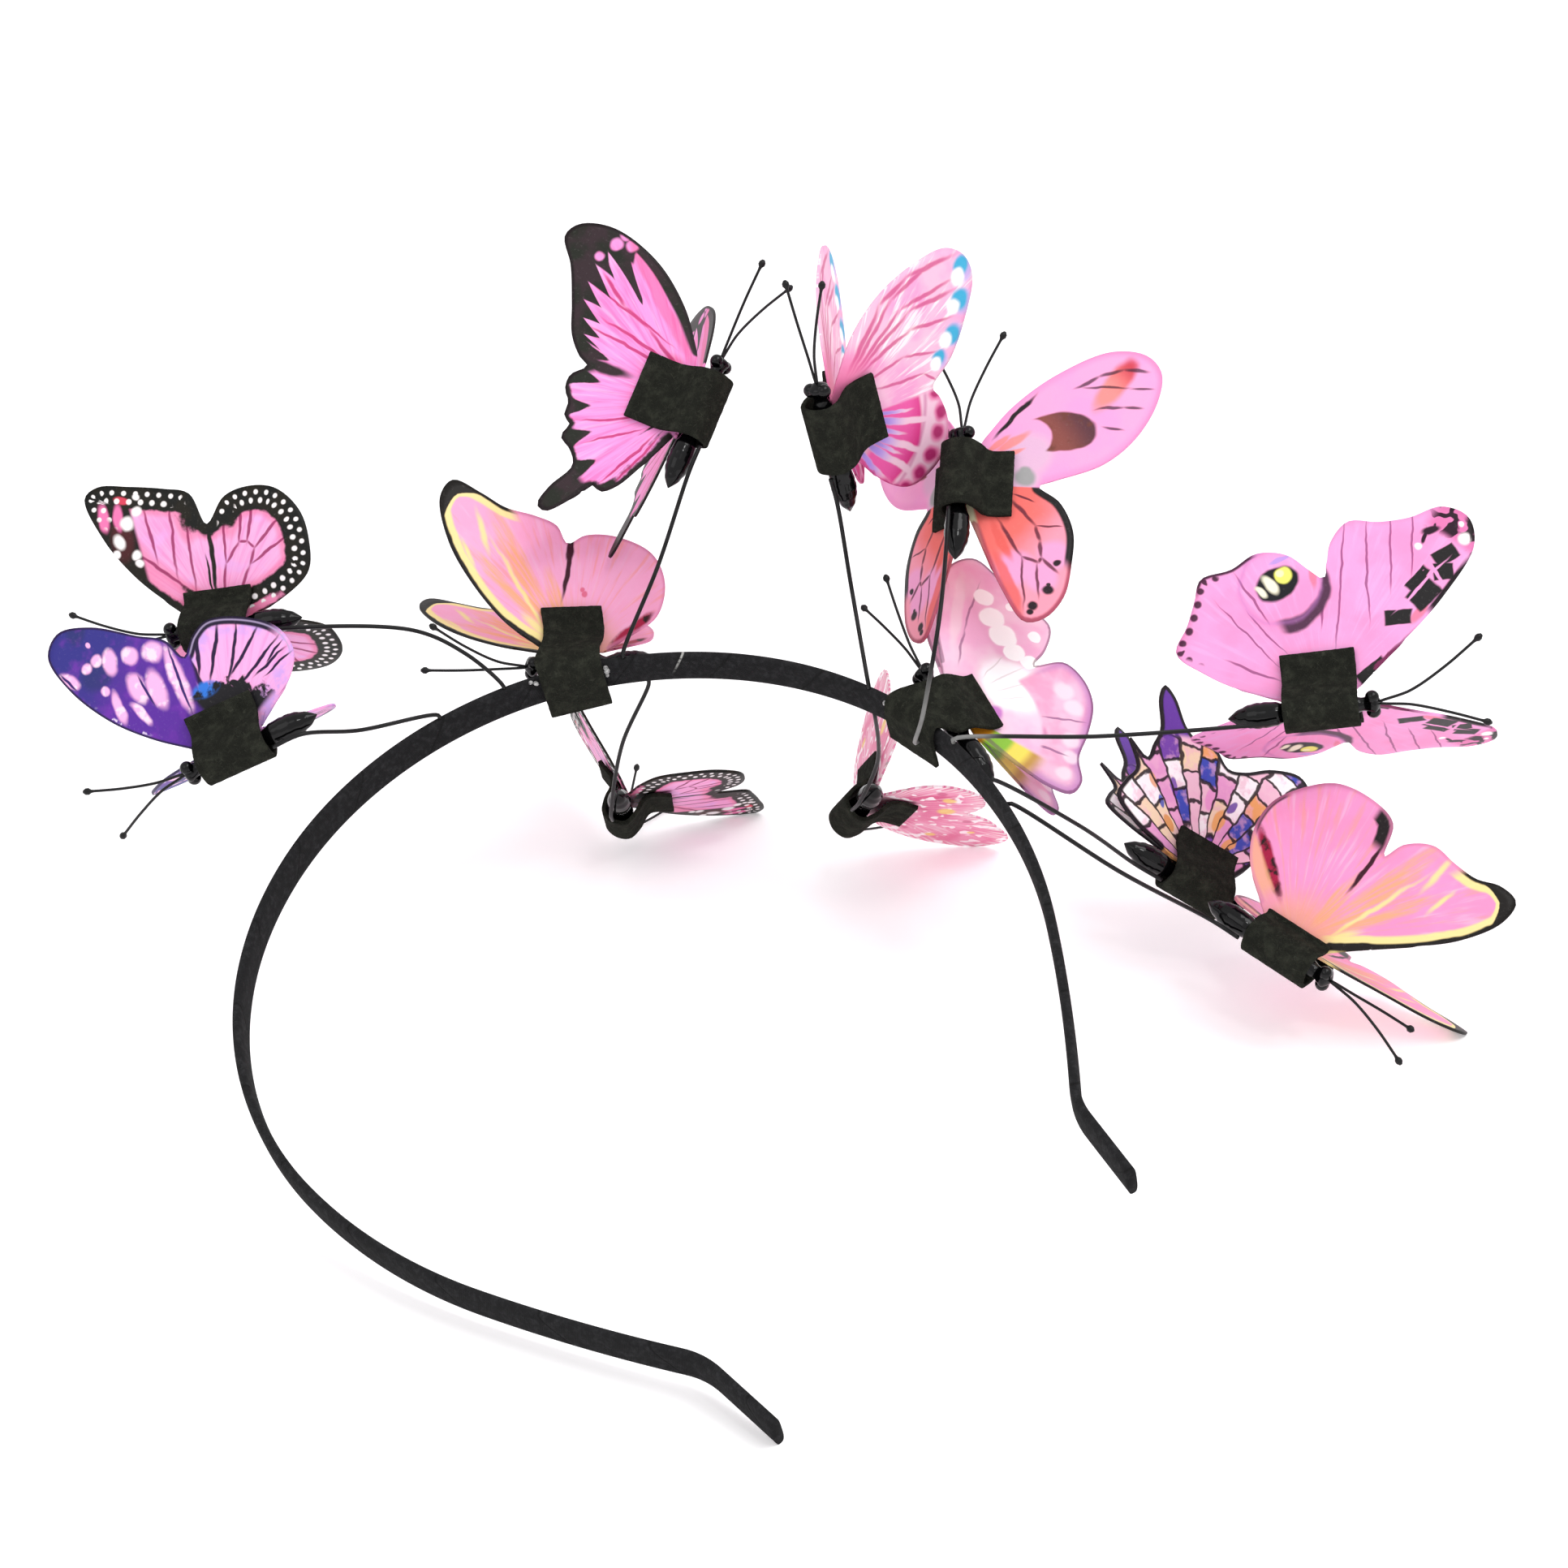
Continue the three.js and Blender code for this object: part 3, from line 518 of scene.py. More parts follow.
def blocks(wing, *rows):
    """Several blocks with square corners, each as start, end and half width."""
    masks = []
    for start, end, width in rows:
        a, b = on_wing(start), on_wing(end)
        local = wing.place.node("Mapping", {"vector_type": "TEXTURE"}, {
            "Vector": wing.place, "Location": (a + b) / 2, "Rotation": (0, 0, math.atan2(b.y - a.y, b.x - a.x)),
            "Scale": ((b - a).length / 2, width, 1)})
        along, aside = (abs(local.node("SeparateXYZ", {}, {0: local}, k)) for k in range(2))
        masks.append(fade(along | aside, 1.12, 0.92))
    return any_of(masks)


def spot(wing, angle, reach, size, soft=0.3):
    """A round dot."""
    middle = on_wing((angle, reach))
    away = wing.place.node("VectorMath", {"operation": "DISTANCE"}, {0: wing.place, 1: middle}, 1)
    return fade(away, size * (1 + soft), size * (1 - soft))


def any_of(masks):
    """The most of several masks."""
    masks = list(masks)
    while len(masks) > 1:
        masks = [a | b for a, b in zip(masks[::2], masks[1::2])] + masks[len(masks) // 2 * 2:]
    return masks[0]


def patches(wing, *rows):
    """Several long ovals, each as start, end and half width."""
    return any_of(patch(wing, *row) for row in rows)


def spots(wing, *rows):
    """Several dots, each as angle, reach and size."""
    return any_of(spot(wing, *row) for row in rows)


def chain(wing, width, *places):
    """A fine line through several places."""
    return any_of(patch(wing, a, b, width, 0.45) for a, b in zip(places, places[1:]))


def between(value, low, high, soft):
    """All between two values, with soft ends."""
    return fade(value, low - soft, low + soft) * fade(value, high + soft, high - soft)


def beads(wing, pitch, inset, size, first, last, shift=0.0):
    """A row of round dots along the cut edge, in millimetres, between two angles."""
    beside = abs(wing.start.math("FRACT", wing.along / pitch + shift) - 0.5) * pitch
    away = wing.margin - inset
    return fade(beside * beside + away * away, (size * 1.3) ** 2, (size * 0.7) ** 2) * between(wing.angle, first, last, 1.0)


def streaked(wing, low, high, seed=0.0):
    """Soft streaks that run from the root to the cut edge."""
    shifted = wing.rays.node("VectorMath", {"operation": "ADD"}, {0: wing.rays, 1: (seed, seed, 0)})
    return fade(grain(shifted, 2.2, 3.0, 0.6), low, high)


def print_monarch(wing, butterfly):
    """Rose cells between fine veins, in a black border with two rows of white dots."""
    fore = fade(wing.angle, 2.0, 4.0)
    width = 4.4 - fore * 0.4 - fade(wing.angle, 40.0, 56.0) * 2.9 - fade(wing.angle, -58.0, -78.0) * 4.2
    width = width - between(wing.angle, -9.0, 15.0, 6.0) * 2.1
    cells = fade(wing.margin - width + grain(wing.place, 25.0) * 0.8, 0.1, 0.6)
    cells = cells * (1 - fore * fade(wing.ahead - wing.out * 0.19, 0.300, 0.325))
    cells = cells * (1 - patches(wing, ((4, 0.12), (3, 0.56), 0.013), ((5, 0.44), (5, 0.60), 0.034), ((12, 0.12), (9, 0.34), 0.006)))
    tone = over("fdb6ea", "f48fd2", streaked(wing, 0.4, 0.7) * 0.7)
    tone = over(tone, "eab4fa", fade(grain(wing.place, 5.0), 0.52, 0.7) * 0.5)
    tone = over(tone, "f0709a", fade(wing.margin - width, 1.4, 0.2) * 0.55 + fade(wing.radius, 0.3, 0.12) * 0.4)
    veins = chain(wing, 0.009, (36, 0.10), (40, 0.21), (46, 0.60)) | chain(wing, 0.008, (39, 0.33), (20, 0.68)) \
        | chain(wing, 0.008, (42, 0.46), (30, 0.72)) | chain(wing, 0.007, (35, 0.2), (14, 0.60)) \
        | chain(wing, 0.008, (-14, 0.13), (-10, 0.29), (-18, 0.4), (-24, 0.42), (-30, 0.4), (-34, 0.31), (-42, 0.16)) \
        | patches(wing, ((-18, 0.39), (-16, 0.62), 0.008), ((-24, 0.41), (-21, 0.62), 0.008), ((-30, 0.39), (-36, 0.6), 0.008),
                  ((-34, 0.32), (-45, 0.56), 0.008), ((-57, 0.14), (-57, 0.54), 0.007), ((-10, 0.29), (-6, 0.56), 0.007))
    tone = over(tone, "96205e", veins * 0.9)
    ground = over("181409", "080b08", fade(grain(wing.place, 8.0), 0.4, 0.6))
    ground = over(ground, "5a1c26", patches(wing, ((52, 0.60), (40, 0.76), 0.06)) * 0.6)
    tone = over(ground, tone, cells)
    tone = over(tone, "f27ab8", patches(wing, ((47, 0.77), (41, 0.89), 0.028), ((43.5, 0.72), (37, 0.83), 0.026)))
    tone = over(tone, "d8405c", patches(wing, ((36.5, 0.86), (33, 0.79), 0.018)))
    outer_row = beads(wing, 2.15, 1.2, 0.42, -74.0, 46.0) * (1 - between(wing.angle, -3.0, 13.0, 1.0))
    inner_row = beads(wing, 2.15, 2.65, 0.48, -70.0, 43.0, 0.5) * (1 - between(wing.angle, -12.0, 19.0, 1.0))
    dots = outer_row | inner_row \
        | spots(wing, (39, 0.715, 0.036), (33, 0.725, 0.026), (46.5, 0.565, 0.026), (52, 0.66, 0.020), (49.5, 0.53, 0.022), (30, 0.79, 0.018)) \
        | patches(wing, ((46, 0.72), (48.5, 0.645), 0.028))
    return over(tone, "f6f2f4", dots)


def print_indigo(wing, butterfly):
    """Violet forewings with pale drops, and rose hindwings rayed with black."""
    fore = fade(wing.out * 0.11 + wing.ahead, 0.075, 0.095)
    blue = over("5a2aa0", "33308a", fade(wing.radius + grain(wing.place, 5.0) * 0.3, 0.68, 0.95))
    blue = over(blue, "2a3070", patches(wing, ((42, 0.66), (40, 0.80), 0.09), ((30, 0.9), (34, 0.98), 0.08)) * 0.8)
    blue = over(blue, "7a32b4", fade(grain(wing.place, 9.0), 0.5, 0.7) * 0.6)
    drops = patches(wing, ((31.4, 0.745), (38.5, 0.665), 0.034), ((27.0, 0.68), (29.0, 0.605), 0.036), ((13.5, 0.545), (31, 0.25), 0.036),
                    ((34.5, 0.59), (43.5, 0.465), 0.040), ((27.5, 0.52), (41, 0.365), 0.042), ((45, 0.625), (58, 0.53), 0.024),
                    ((47, 0.52), (55, 0.405), 0.022), ((46.5, 0.90), (47.5, 0.79), 0.028)) \
        | spots(wing, (41, 0.79, 0.026), (37, 0.765, 0.028), (19.8, 0.575, 0.050), (46, 0.665, 0.022), (34, 0.84, 0.012))
    blue = over(blue, "fbb8ee", drops)
    blue = over(blue, "fce8fa", drops * fade(grain(wing.place, 16.0), 0.5, 0.62) * 0.8)
    blue = over(blue, "34206e", patches(wing, ((12, 0.55), (33, 0.24), 0.007), ((33.5, 0.55), (42.5, 0.41), 0.007), ((46, 0.9), (49, 0.80), 0.007)))
    # Painted highlight: pale streaks along the front edge near the root.
    blue = over(blue, "e8d8f8", between(wing.margin, 0.35, 0.8, 0.2) * between(wing.angle, 54.0, 63.0, 2.0) * fade(grain(wing.place, 20.0), 0.54, 0.64))
    rose = over("fcb2ec", "f08fd6", streaked(wing, 0.45, 0.7) * 0.6)
    rose = over(rose, "cfa6f4", fade(wing.margin, 4.5, 1.5) * fade(grain(wing.place, 12.0), 0.4, 0.6) * 0.9)
    rays = patches(wing, ((5.5, 0.62), (10, 0.22), 0.016), ((-5, 0.56), (6.6, 0.33), 0.009), ((-16, 0.56), (-1, 0.30), 0.009),
                   ((-25, 0.56), (-19, 0.27), 0.008), ((-35.6, 0.54), (-20, 0.30), 0.008), ((-47, 0.53), (-29, 0.25), 0.008),
                   ((-53, 0.50), (-42, 0.32), 0.007), ((-57, 0.50), (-50, 0.34), 0.006), ((-50, 0.52), (-47, 0.40), 0.006))
    rose = over(rose, "24103c", rays)
    rim = fade(wing.margin, 1.5, 1.1) * fade(wing.angle, -50.0, -40.0)
    rose = over(rose, "1c1030", rim)
    rose = over(rose, "b8a8d4", between(wing.margin, 0.4, 0.65, 0.15) * fade(wing.angle, -60.0, -54.0) * 0.8)
    tone = over(rose, blue, fore)
    base = fade(wing.radius + fade(grain(wing.place, 18.0), 0.3, 0.7) * 0.07, 0.335, 0.305) * between(wing.angle, -64.0, 22.0, 4.0)
    tone = over(tone, "15131a", base)
    tone = over(tone, "2f78e0", patches(wing, ((19, 0.29), (-8, 0.275), 0.036)) * fade(grain(wing.place, 18.0), 0.38, 0.54))
    return over(tone, "2a1850", fade(wing.margin, 0.45, 0.25) * fore)


def print_petal(wing, butterfly):
    """Pink like a petal, with warm streaks, and a cream and black rim along the front."""
    lift = butterfly.name == "blush"
    tone = over("fcacd8" if lift else "fc98ce", "fcb0dc" if lift else "fb9cd6", fade(grain(wing.place, 4.0), 0.4, 0.62))
    tone = over(tone, "fba0a8", streaked(wing, 0.5, 0.68) * 0.75)
    tone = over(tone, "fcc0e6", streaked(wing, 0.52, 0.7, 7.0) * 0.6)
    warm = patches(wing, ((42, 0.14), (24, 0.78), 0.045), ((50, 0.15), (40, 0.70), 0.028), ((20, 0.12), (12, 0.42), 0.03)) * 0.85
    tone = over(tone, "fbb27c", warm * streaked(wing, 0.3, 0.6, 3.0))
    tone = over(tone, "fbb27c", fade(wing.radius, 0.30, 0.12) * 0.6)
    cream = any_of(patch(wing, start, end, width, 0.6) for start, end, width in (
        ((52, 0.16), (31, 0.62), 0.010), ((29, 0.80), (35, 0.63), 0.014), ((45, 0.62), (40, 0.74), 0.011), ((58, 0.14), (50, 0.30), 0.02)))
    front = between(wing.angle, 17.0 if butterfly.name == "blush" else 34.0, 90.0, 2.0)
    rim = 0.7 + fade(wing.radius, 0.88, 0.97) * 2.9 + fade(grain(wing.place, 4.0), 0.40, 0.70) * 0.4
    cream = cream * 0.85 | fade(wing.margin, rim + 1.3, rim + 0.8) * front * (0.9 * fade(wing.radius, 0.1, 0.2))
    tone = over(tone, "f8ea9a", cream)
    tone = over(tone, "14100e", fade(wing.margin, rim, rim - 0.35) * front)
    red = patches(wing, ((-50, 0.22), (-50, 0.56), 0.028)) if butterfly.name == "petal" else patches(wing, ((-84, 0.18), (-66, 0.44), 0.026))
    tone = over(tone, "a80f42", red)
    tone = over(tone, "20060e", red * fade(grain(wing.place, 14.0), 0.45, 0.58))
    if butterfly.name == "petal":
        slit = patches(wing, ((9, 0.60), (14.5, 0.34), 0.011))
        tone = over(tone, "170d12", fade(wing.margin, 2.6, 2.1) * between(wing.angle, -1.0, 14.0, 1.5) * fade(wing.radius, 0.54, 0.6))
        tone = over(tone, "f6b48c", between(wing.angle, -70.0, -53.0, 1.5) * fade(wing.radius, 0.2, 0.3) * 0.8)
        tone = over(tone, "170d12", fade(wing.margin, 0.9, 0.5) * between(wing.angle, -52.0, -36.0, 2.0))
    else:
        slit = patches(wing, ((-6.5, 0.56), (7, 0.27), 0.012)) | patches(wing, ((-6, 0.58), (-3, 0.44), 0.017))
        tone = over(tone, "e0557c", spots(wing, (-16, 0.30, 0.017), (-13, 0.32, 0.012)) * 0.8)
    tone = over(tone, "e58ab8", fade(wing.margin, 0.7, 0.2) * (1 - front) * 0.6)
    return over(tone, "3a0a20", slit)


def print_swallowtail(wing, butterfly):
    """Hot pink panels with toothed black-brown borders and black tails."""
    hind = fade(wing.ahead - wing.out * 0.19, 0.005, -0.005)
    pink = over("ff9fe8", "ff70c0", streaked(wing, 0.42, 0.68) * 0.7)
    pink = over(pink, "ffc0f2", streaked(wing, 0.5, 0.7, 5.0) * 0.6)
    pink = over(pink, "f0508c", patches(wing, ((74, 0.2), (49, 0.86), 0.030), ((62, 0.1), (44, 0.26), 0.05)) * 0.5)
    veins = chain(wing, 0.010, (66, 0.12), (41, 0.4), (36, 0.55), (36, 0.72)) \
        | patches(wing, ((55, 0.16), (25, 0.56), 0.008), ((45, 0.16), (18, 0.58), 0.008), ((52, 0.3), (31, 0.70), 0.006),
                  ((-38, 0.2), (-30, 0.5), 0.006), ((-50, 0.24), (-42, 0.5), 0.006), ((-64, 0.22), (-64, 0.54), 0.007), ((-70, 0.2), (-69, 0.5), 0.007))
    pink = over(pink, "c01c6c", veins * 0.85)
    tooth = abs(wing.start.math("FRACT", wing.angle / 5.6 + 0.15) - 0.5) * 2.0
    outer = 2.0 + (tooth * 2.9 + fade(wing.angle, 26.0, 36.0) * 2.2) * fade(wing.radius, 0.40, 0.56)
    front = 0.9 + between(wing.angle, 50.0, 64.0, 8.0) * 1.1
    edge = outer + (front - outer) * fade(wing.angle, 45.0, 50.0)
    cells = fade(wing.margin - edge, -0.15, 0.25) * fade(wing.radius + abs(wing.angle - 47.0) * 0.006, 0.90, 0.84)
    cells = cells | spots(wing, (48.5, 0.86, 0.030), (44.5, 0.835, 0.030), (38, 0.82, 0.022), (49, 0.80, 0.03)) * 0.95
    lobe = 1 - abs(wing.start.math("FRACT", (wing.angle + 22.5) / 15.4 + 0.5) - 0.5) * 2.0
    dark = 0.8 + fade(lobe, 0.35, 1.0) * 3.0 * fade(wing.angle, -70.0, -62.0)
    hind_cells = fade(wing.margin - dark + grain(wing.place, 20.0) * 1.2, 0.3, 0.9) * fade(wing.radius, 0.62, 0.58)
    hind_cells = hind_cells * (1 - patches(wing, ((6, 0.30), (0, 0.60), 0.028), ((4, 0.44), (-2, 0.58), 0.045)))
    cells = cells + (hind_cells - cells) * hind
    ground = over("32232a", "1c2018", fade(grain(wing.place, 6.0), 0.42, 0.6))
    tone = over(ground, pink, cells)
    tone = over(tone, "c05a78", patches(wing, ((61, 0.60), (57, 0.68), 0.012)) * 0.7)
    return over(tone, "1c1216", fade(wing.margin, 0.7, 0.35))


def print_dotted(wing, butterfly):
    """Pale pink with paired deeper veins, white dots with blue crescents, and magenta wedges behind."""
    hind = fade(wing.angle, -9.0, -12.0)
    pale = over("fac6e6", "f6a8dc", fade(grain(wing.place, 4.0), 0.4, 0.65))
    pale = over(pale, "fff2fa", streaked(wing, 0.5, 0.62) * fade(wing.radius, 0.25, 0.45) * 0.85)
    veins = chain(wing, 0.014, (60, 0.26), (50, 0.58), (42.5, 0.74), (30, 0.95)) \
        | chain(wing, 0.011, (52, 0.26), (38, 0.60), (25, 0.86)) | chain(wing, 0.011, (47, 0.28), (33, 0.62), (22, 0.84)) \
        | chain(wing, 0.010, (42, 0.28), (27, 0.56), (15, 0.76)) | chain(wing, 0.008, (30, 0.25), (18, 0.45), (7, 0.62)) \
        | chain(wing, 0.008, (16, 0.25), (0, 0.52), (-6, 0.58)) | chain(wing, 0.012, (56, 0.26), (45, 0.62), (36, 0.84))
    pale = over(pale, "d0508e", veins * 0.85)
    pale = over(pale, "ee5a9c", fade(wing.radius, 0.42, 0.2) * fade(wing.angle, 18.0, 46.0) * 0.7)
    halo = spots(wing, (23.5, 0.955, 0.062), (16, 0.855, 0.060), (8, 0.745, 0.058), (2.5, 0.63, 0.045), (26, 0.97, 0.03))
    pale = over(pale, "c9b4f2", halo * 0.9)
    sky = spots(wing, (25, 0.955, 0.048), (17, 0.85, 0.050), (8.5, 0.735, 0.048), (3.5, 0.625, 0.036))
    pale = over(pale, "3fb2e0", sky)
    pale = over(pale, "fdfeff", spots(wing, (23.5, 0.905, 0.042), (17, 0.805, 0.038), (8.5, 0.69, 0.040), (1.5, 0.60, 0.034)))
    block = fade(wing.radius + abs(wing.angle + 38.0) * 0.0014, 0.525, 0.500) * fade(wing.radius, 0.2, 0.27)
    cuts = patches(wing, ((-24, 0.16), (-24.5, 0.60), 0.016), ((-41, 0.16), (-41, 0.60), 0.018), ((-54, 0.16), (-53, 0.60), 0.018),
                   ((-68, 0.16), (-67, 0.56), 0.016), ((-15, 0.18), (-17, 0.42), 0.010), ((-33, 0.18), (-33, 0.40), 0.012), ((-47, 0.18), (-47, 0.42), 0.010))
    rear = over("fcd2ec", "f49ccc", fade(wing.margin, 1.2, 0.1))
    wedge = over("f060b0", "e0388c", fade(wing.radius, 0.40, 0.52))
    rear = over(rear, wedge, block * (1 - cuts))
    rear = over(rear, "a98cf0", fade(wing.radius, 0.42, 0.28) * cuts * 0.9)
    rear = over(rear, "c64898", between(wing.radius, 0.50, 0.52, 0.01) * (1 - cuts) * 0.5)
    drops = ((-12, 0.575), (-22, 0.615), (-31, 0.605), (-41.5, 0.605), (-51.5, 0.585), (-61.5, 0.56), (-70, 0.45))
    rear = over(rear, "ee7cb6", any_of(spot(wing, a, r, 0.046) for a, r in drops))
    rear = over(rear, "bc2f76", any_of(spot(wing, a, r, 0.030) for a, r in drops))
    rear = over(rear, "d04a90", fade(wing.margin + grain(wing.place, 30.0), 0.85, 0.6) * fade(wing.angle, -28.0, -44.0) * 0.7)
    return over(pale, rear, hind)


def print_crescent(wing, butterfly):
    """Pink forewings with a brown half moon, and coral hindwings with black branching lines."""
    hind = fade(wing.angle, 0.5, -1.5)
    fore = over("fbaade", "f8a4e0", fade(grain(wing.place, 4.0), 0.4, 0.65))
    fore = over(fore, "f394d2", fade(wing.margin, 1.6, 0.2) * 0.7)
    fore = over(fore, "d9c0dc", spots(wing, (32, 0.30, 0.10), (12, 0.24, 0.07)) * 0.7)
    fore = over(fore, "8f9c98", spots(wing, (11, 0.245, 0.045), (16, 0.25, 0.03)) * 0.85)
    fore = over(fore, "fb8a80", patches(wing, ((56, 0.20), (47, 0.36), 0.020), ((66, 0.18), (56, 0.30), 0.014), ((47, 0.2), (38, 0.3), 0.012)) * 0.8)
    moon = patch(wing, (48.5, 0.335), (28.5, 0.615), 0.096, 0.06) * (1 - spot(wing, 42.5, 0.355, 0.088, 0.08))
    brown = over("8a4a44", "59303c", fade(wing.radius, 0.44, 0.6))
    fore = over(fore, over(brown, "6e3a30", fade(grain(wing.place, 14.0), 0.5, 0.7)), moon)
    tip = patches(wing, ((36, 0.66), (43, 0.95), 0.048)) * fade(wing.radius, 0.97, 0.93)
    fore = over(fore, over("fb8f8a", "cc3040", fade(wing.radius, 0.76, 0.92)), tip * 0.95)
    lines = chain(wing, 0.008, (48, 0.66), (45.5, 0.77), (42.5, 0.88), (38, 0.955)) | chain(wing, 0.007, (46, 0.69), (37, 0.835)) \
        | chain(wing, 0.006, (36, 0.845), (33, 0.925)) | chain(wing, 0.007, (36, 0.66), (32, 0.765), (29, 0.83)) | chain(wing, 0.006, (28, 0.645), (24.5, 0.715))
    fore = over(fore, "3a1430", lines * 0.85)
    fore = over(fore, "1a1016", patches(wing, ((66, 0.26), (59.5, 0.52), 0.010)))
    rear = over("f4706c", "f89cb6", fade(wing.radius + grain(wing.place, 5.0) * 0.12, 0.36, 0.52))
    rear = over(rear, "f4a6de", spots(wing, (-40, 0.50, 0.07), (-52, 0.54, 0.07), (-60, 0.45, 0.08)) * 0.8)
    rear = over(rear, "e8605c", patches(wing, ((-68, 0.34), (-67, 0.66), 0.026), ((-58, 0.2), (-60, 0.4), 0.02)) * 0.85)
    rear = over(rear, "f6ecc8", fade(wing.angle, -72.0, -78.0))
    branch = chain(wing, 0.009, (-21, 0.2), (-31, 0.35), (-39, 0.41), (-46, 0.47), (-45, 0.57)) \
        | chain(wing, 0.008, (-50, 0.22), (-54, 0.415), (-49, 0.48), (-46, 0.47)) | chain(wing, 0.006, (-54, 0.415), (-65, 0.62)) \
        | chain(wing, 0.006, (-50, 0.48), (-58, 0.61)) | patches(wing, ((-31, 0.35), (-24, 0.45), 0.005), ((-12, 0.2), (-14, 0.3), 0.006))
    rear = over(rear, "5a1430", branch * 0.9)
    rear = over(rear, "200a18", spots(wing, (-42, 0.535, 0.016), (-53.5, 0.605, 0.024), (-62, 0.64, 0.022), (-52, 0.585, 0.010), (-64, 0.66, 0.014)))
    rear = over(rear, "a03050", fade(wing.margin, 0.9, 0.3) * fade(wing.angle, -30.0, -38.0) * 0.8)
    rear = over(rear, "120c10", fade(wing.margin, 1.5, 1.0) * between(wing.angle, -40.0, 4.0, 3.0))
    return over(fore, rear, hind)


def print_pearl(wing, butterfly):
    """Pale pink with large pearls, a white middle and violet-pink hindwings with painted highlights."""
    tone = over("f8bce4", "fcd6f0", fade(grain(wing.place, 3.5), 0.4, 0.62))
    tone = over(tone, "fde9f6", patches(wing, ((66, 0.4), (60, 0.86), 0.03)) * 0.6)
    tone = over(tone, "9c6a92", chain(wing, 0.006, (62, 0.30), (59, 0.50), (53.5, 0.80)) * 0.8)
    tone = over(tone, "fdfbfd", patches(wing, ((40, 0.30), (-12, 0.42), 0.15)))
    pearls = ((51, 0.745, 0.052), (45.5, 0.635, 0.066), (37, 0.555, 0.072), (27, 0.50, 0.055), (25, 0.665, 0.034), (40, 0.75, 0.026), (17, 0.51, 0.045))
    tone = over(tone, "ffffff", any_of(spot(wing, *pearl, 0.12) for pearl in pearls))
    tone = over(tone, "d8cdd8", patches(wing, ((24, 0.24), (16, 0.46), 0.004), ((12, 0.24), (6, 0.42), 0.004), ((34, 0.26), (30, 0.44), 0.004), ((0, 0.22), (-5, 0.4), 0.004)) * 0.5)
    rear = over("f2aad2", "f9c4e4", fade(grain(wing.place, 5.0), 0.4, 0.6))
    rear = over(rear, "b878c0", fade(wing.margin, 2.4, 0.3) * 0.75)
    rear = over(rear, "c04a9c", patches(wing, ((-28, 0.36), (-42, 0.42), 0.05)) * 0.55)
    # Painted highlights: pale spots that stand in for the gloss on the hindwings.
    rear = over(rear, "fbe6f6", spots(wing, (-6, 0.58, 0.055), (-16, 0.60, 0.05), (-36, 0.56, 0.045), (-46, 0.58, 0.04), (-57, 0.58, 0.04)) * 0.75)
    rear = over(rear, "74407c", patches(wing, ((-48, 0.36), (-46, 0.56), 0.008), ((-22, 0.42), (-24, 0.64), 0.006)) * 0.7)
    tone = over(tone, rear, fade(wing.angle, 12.0, 8.0) * fade(wing.radius + wing.angle * 0.0008, 0.375, 0.405))
    stripes = between(wing.angle, -90.0, -55.0, 2.0) * fade(wing.radius, 0.50, 0.42)
    hues = over("e0901c", "8cc43c", fade(wing.radius, 0.17, 0.21))
    hues = over(hues, "f6e060", fade(wing.radius, 0.28, 0.32))
    hues = over(hues, "c89a50", fade(wing.radius, 0.37, 0.42))
    tone = over(tone, hues, stripes)
    tone = over(tone, "cc74d4", spots(wing, (-22, 0.17, 0.045)) * 0.9)
    return over(tone, "6a3a60", fade(wing.margin, 0.5, 0.25) * 0.6)


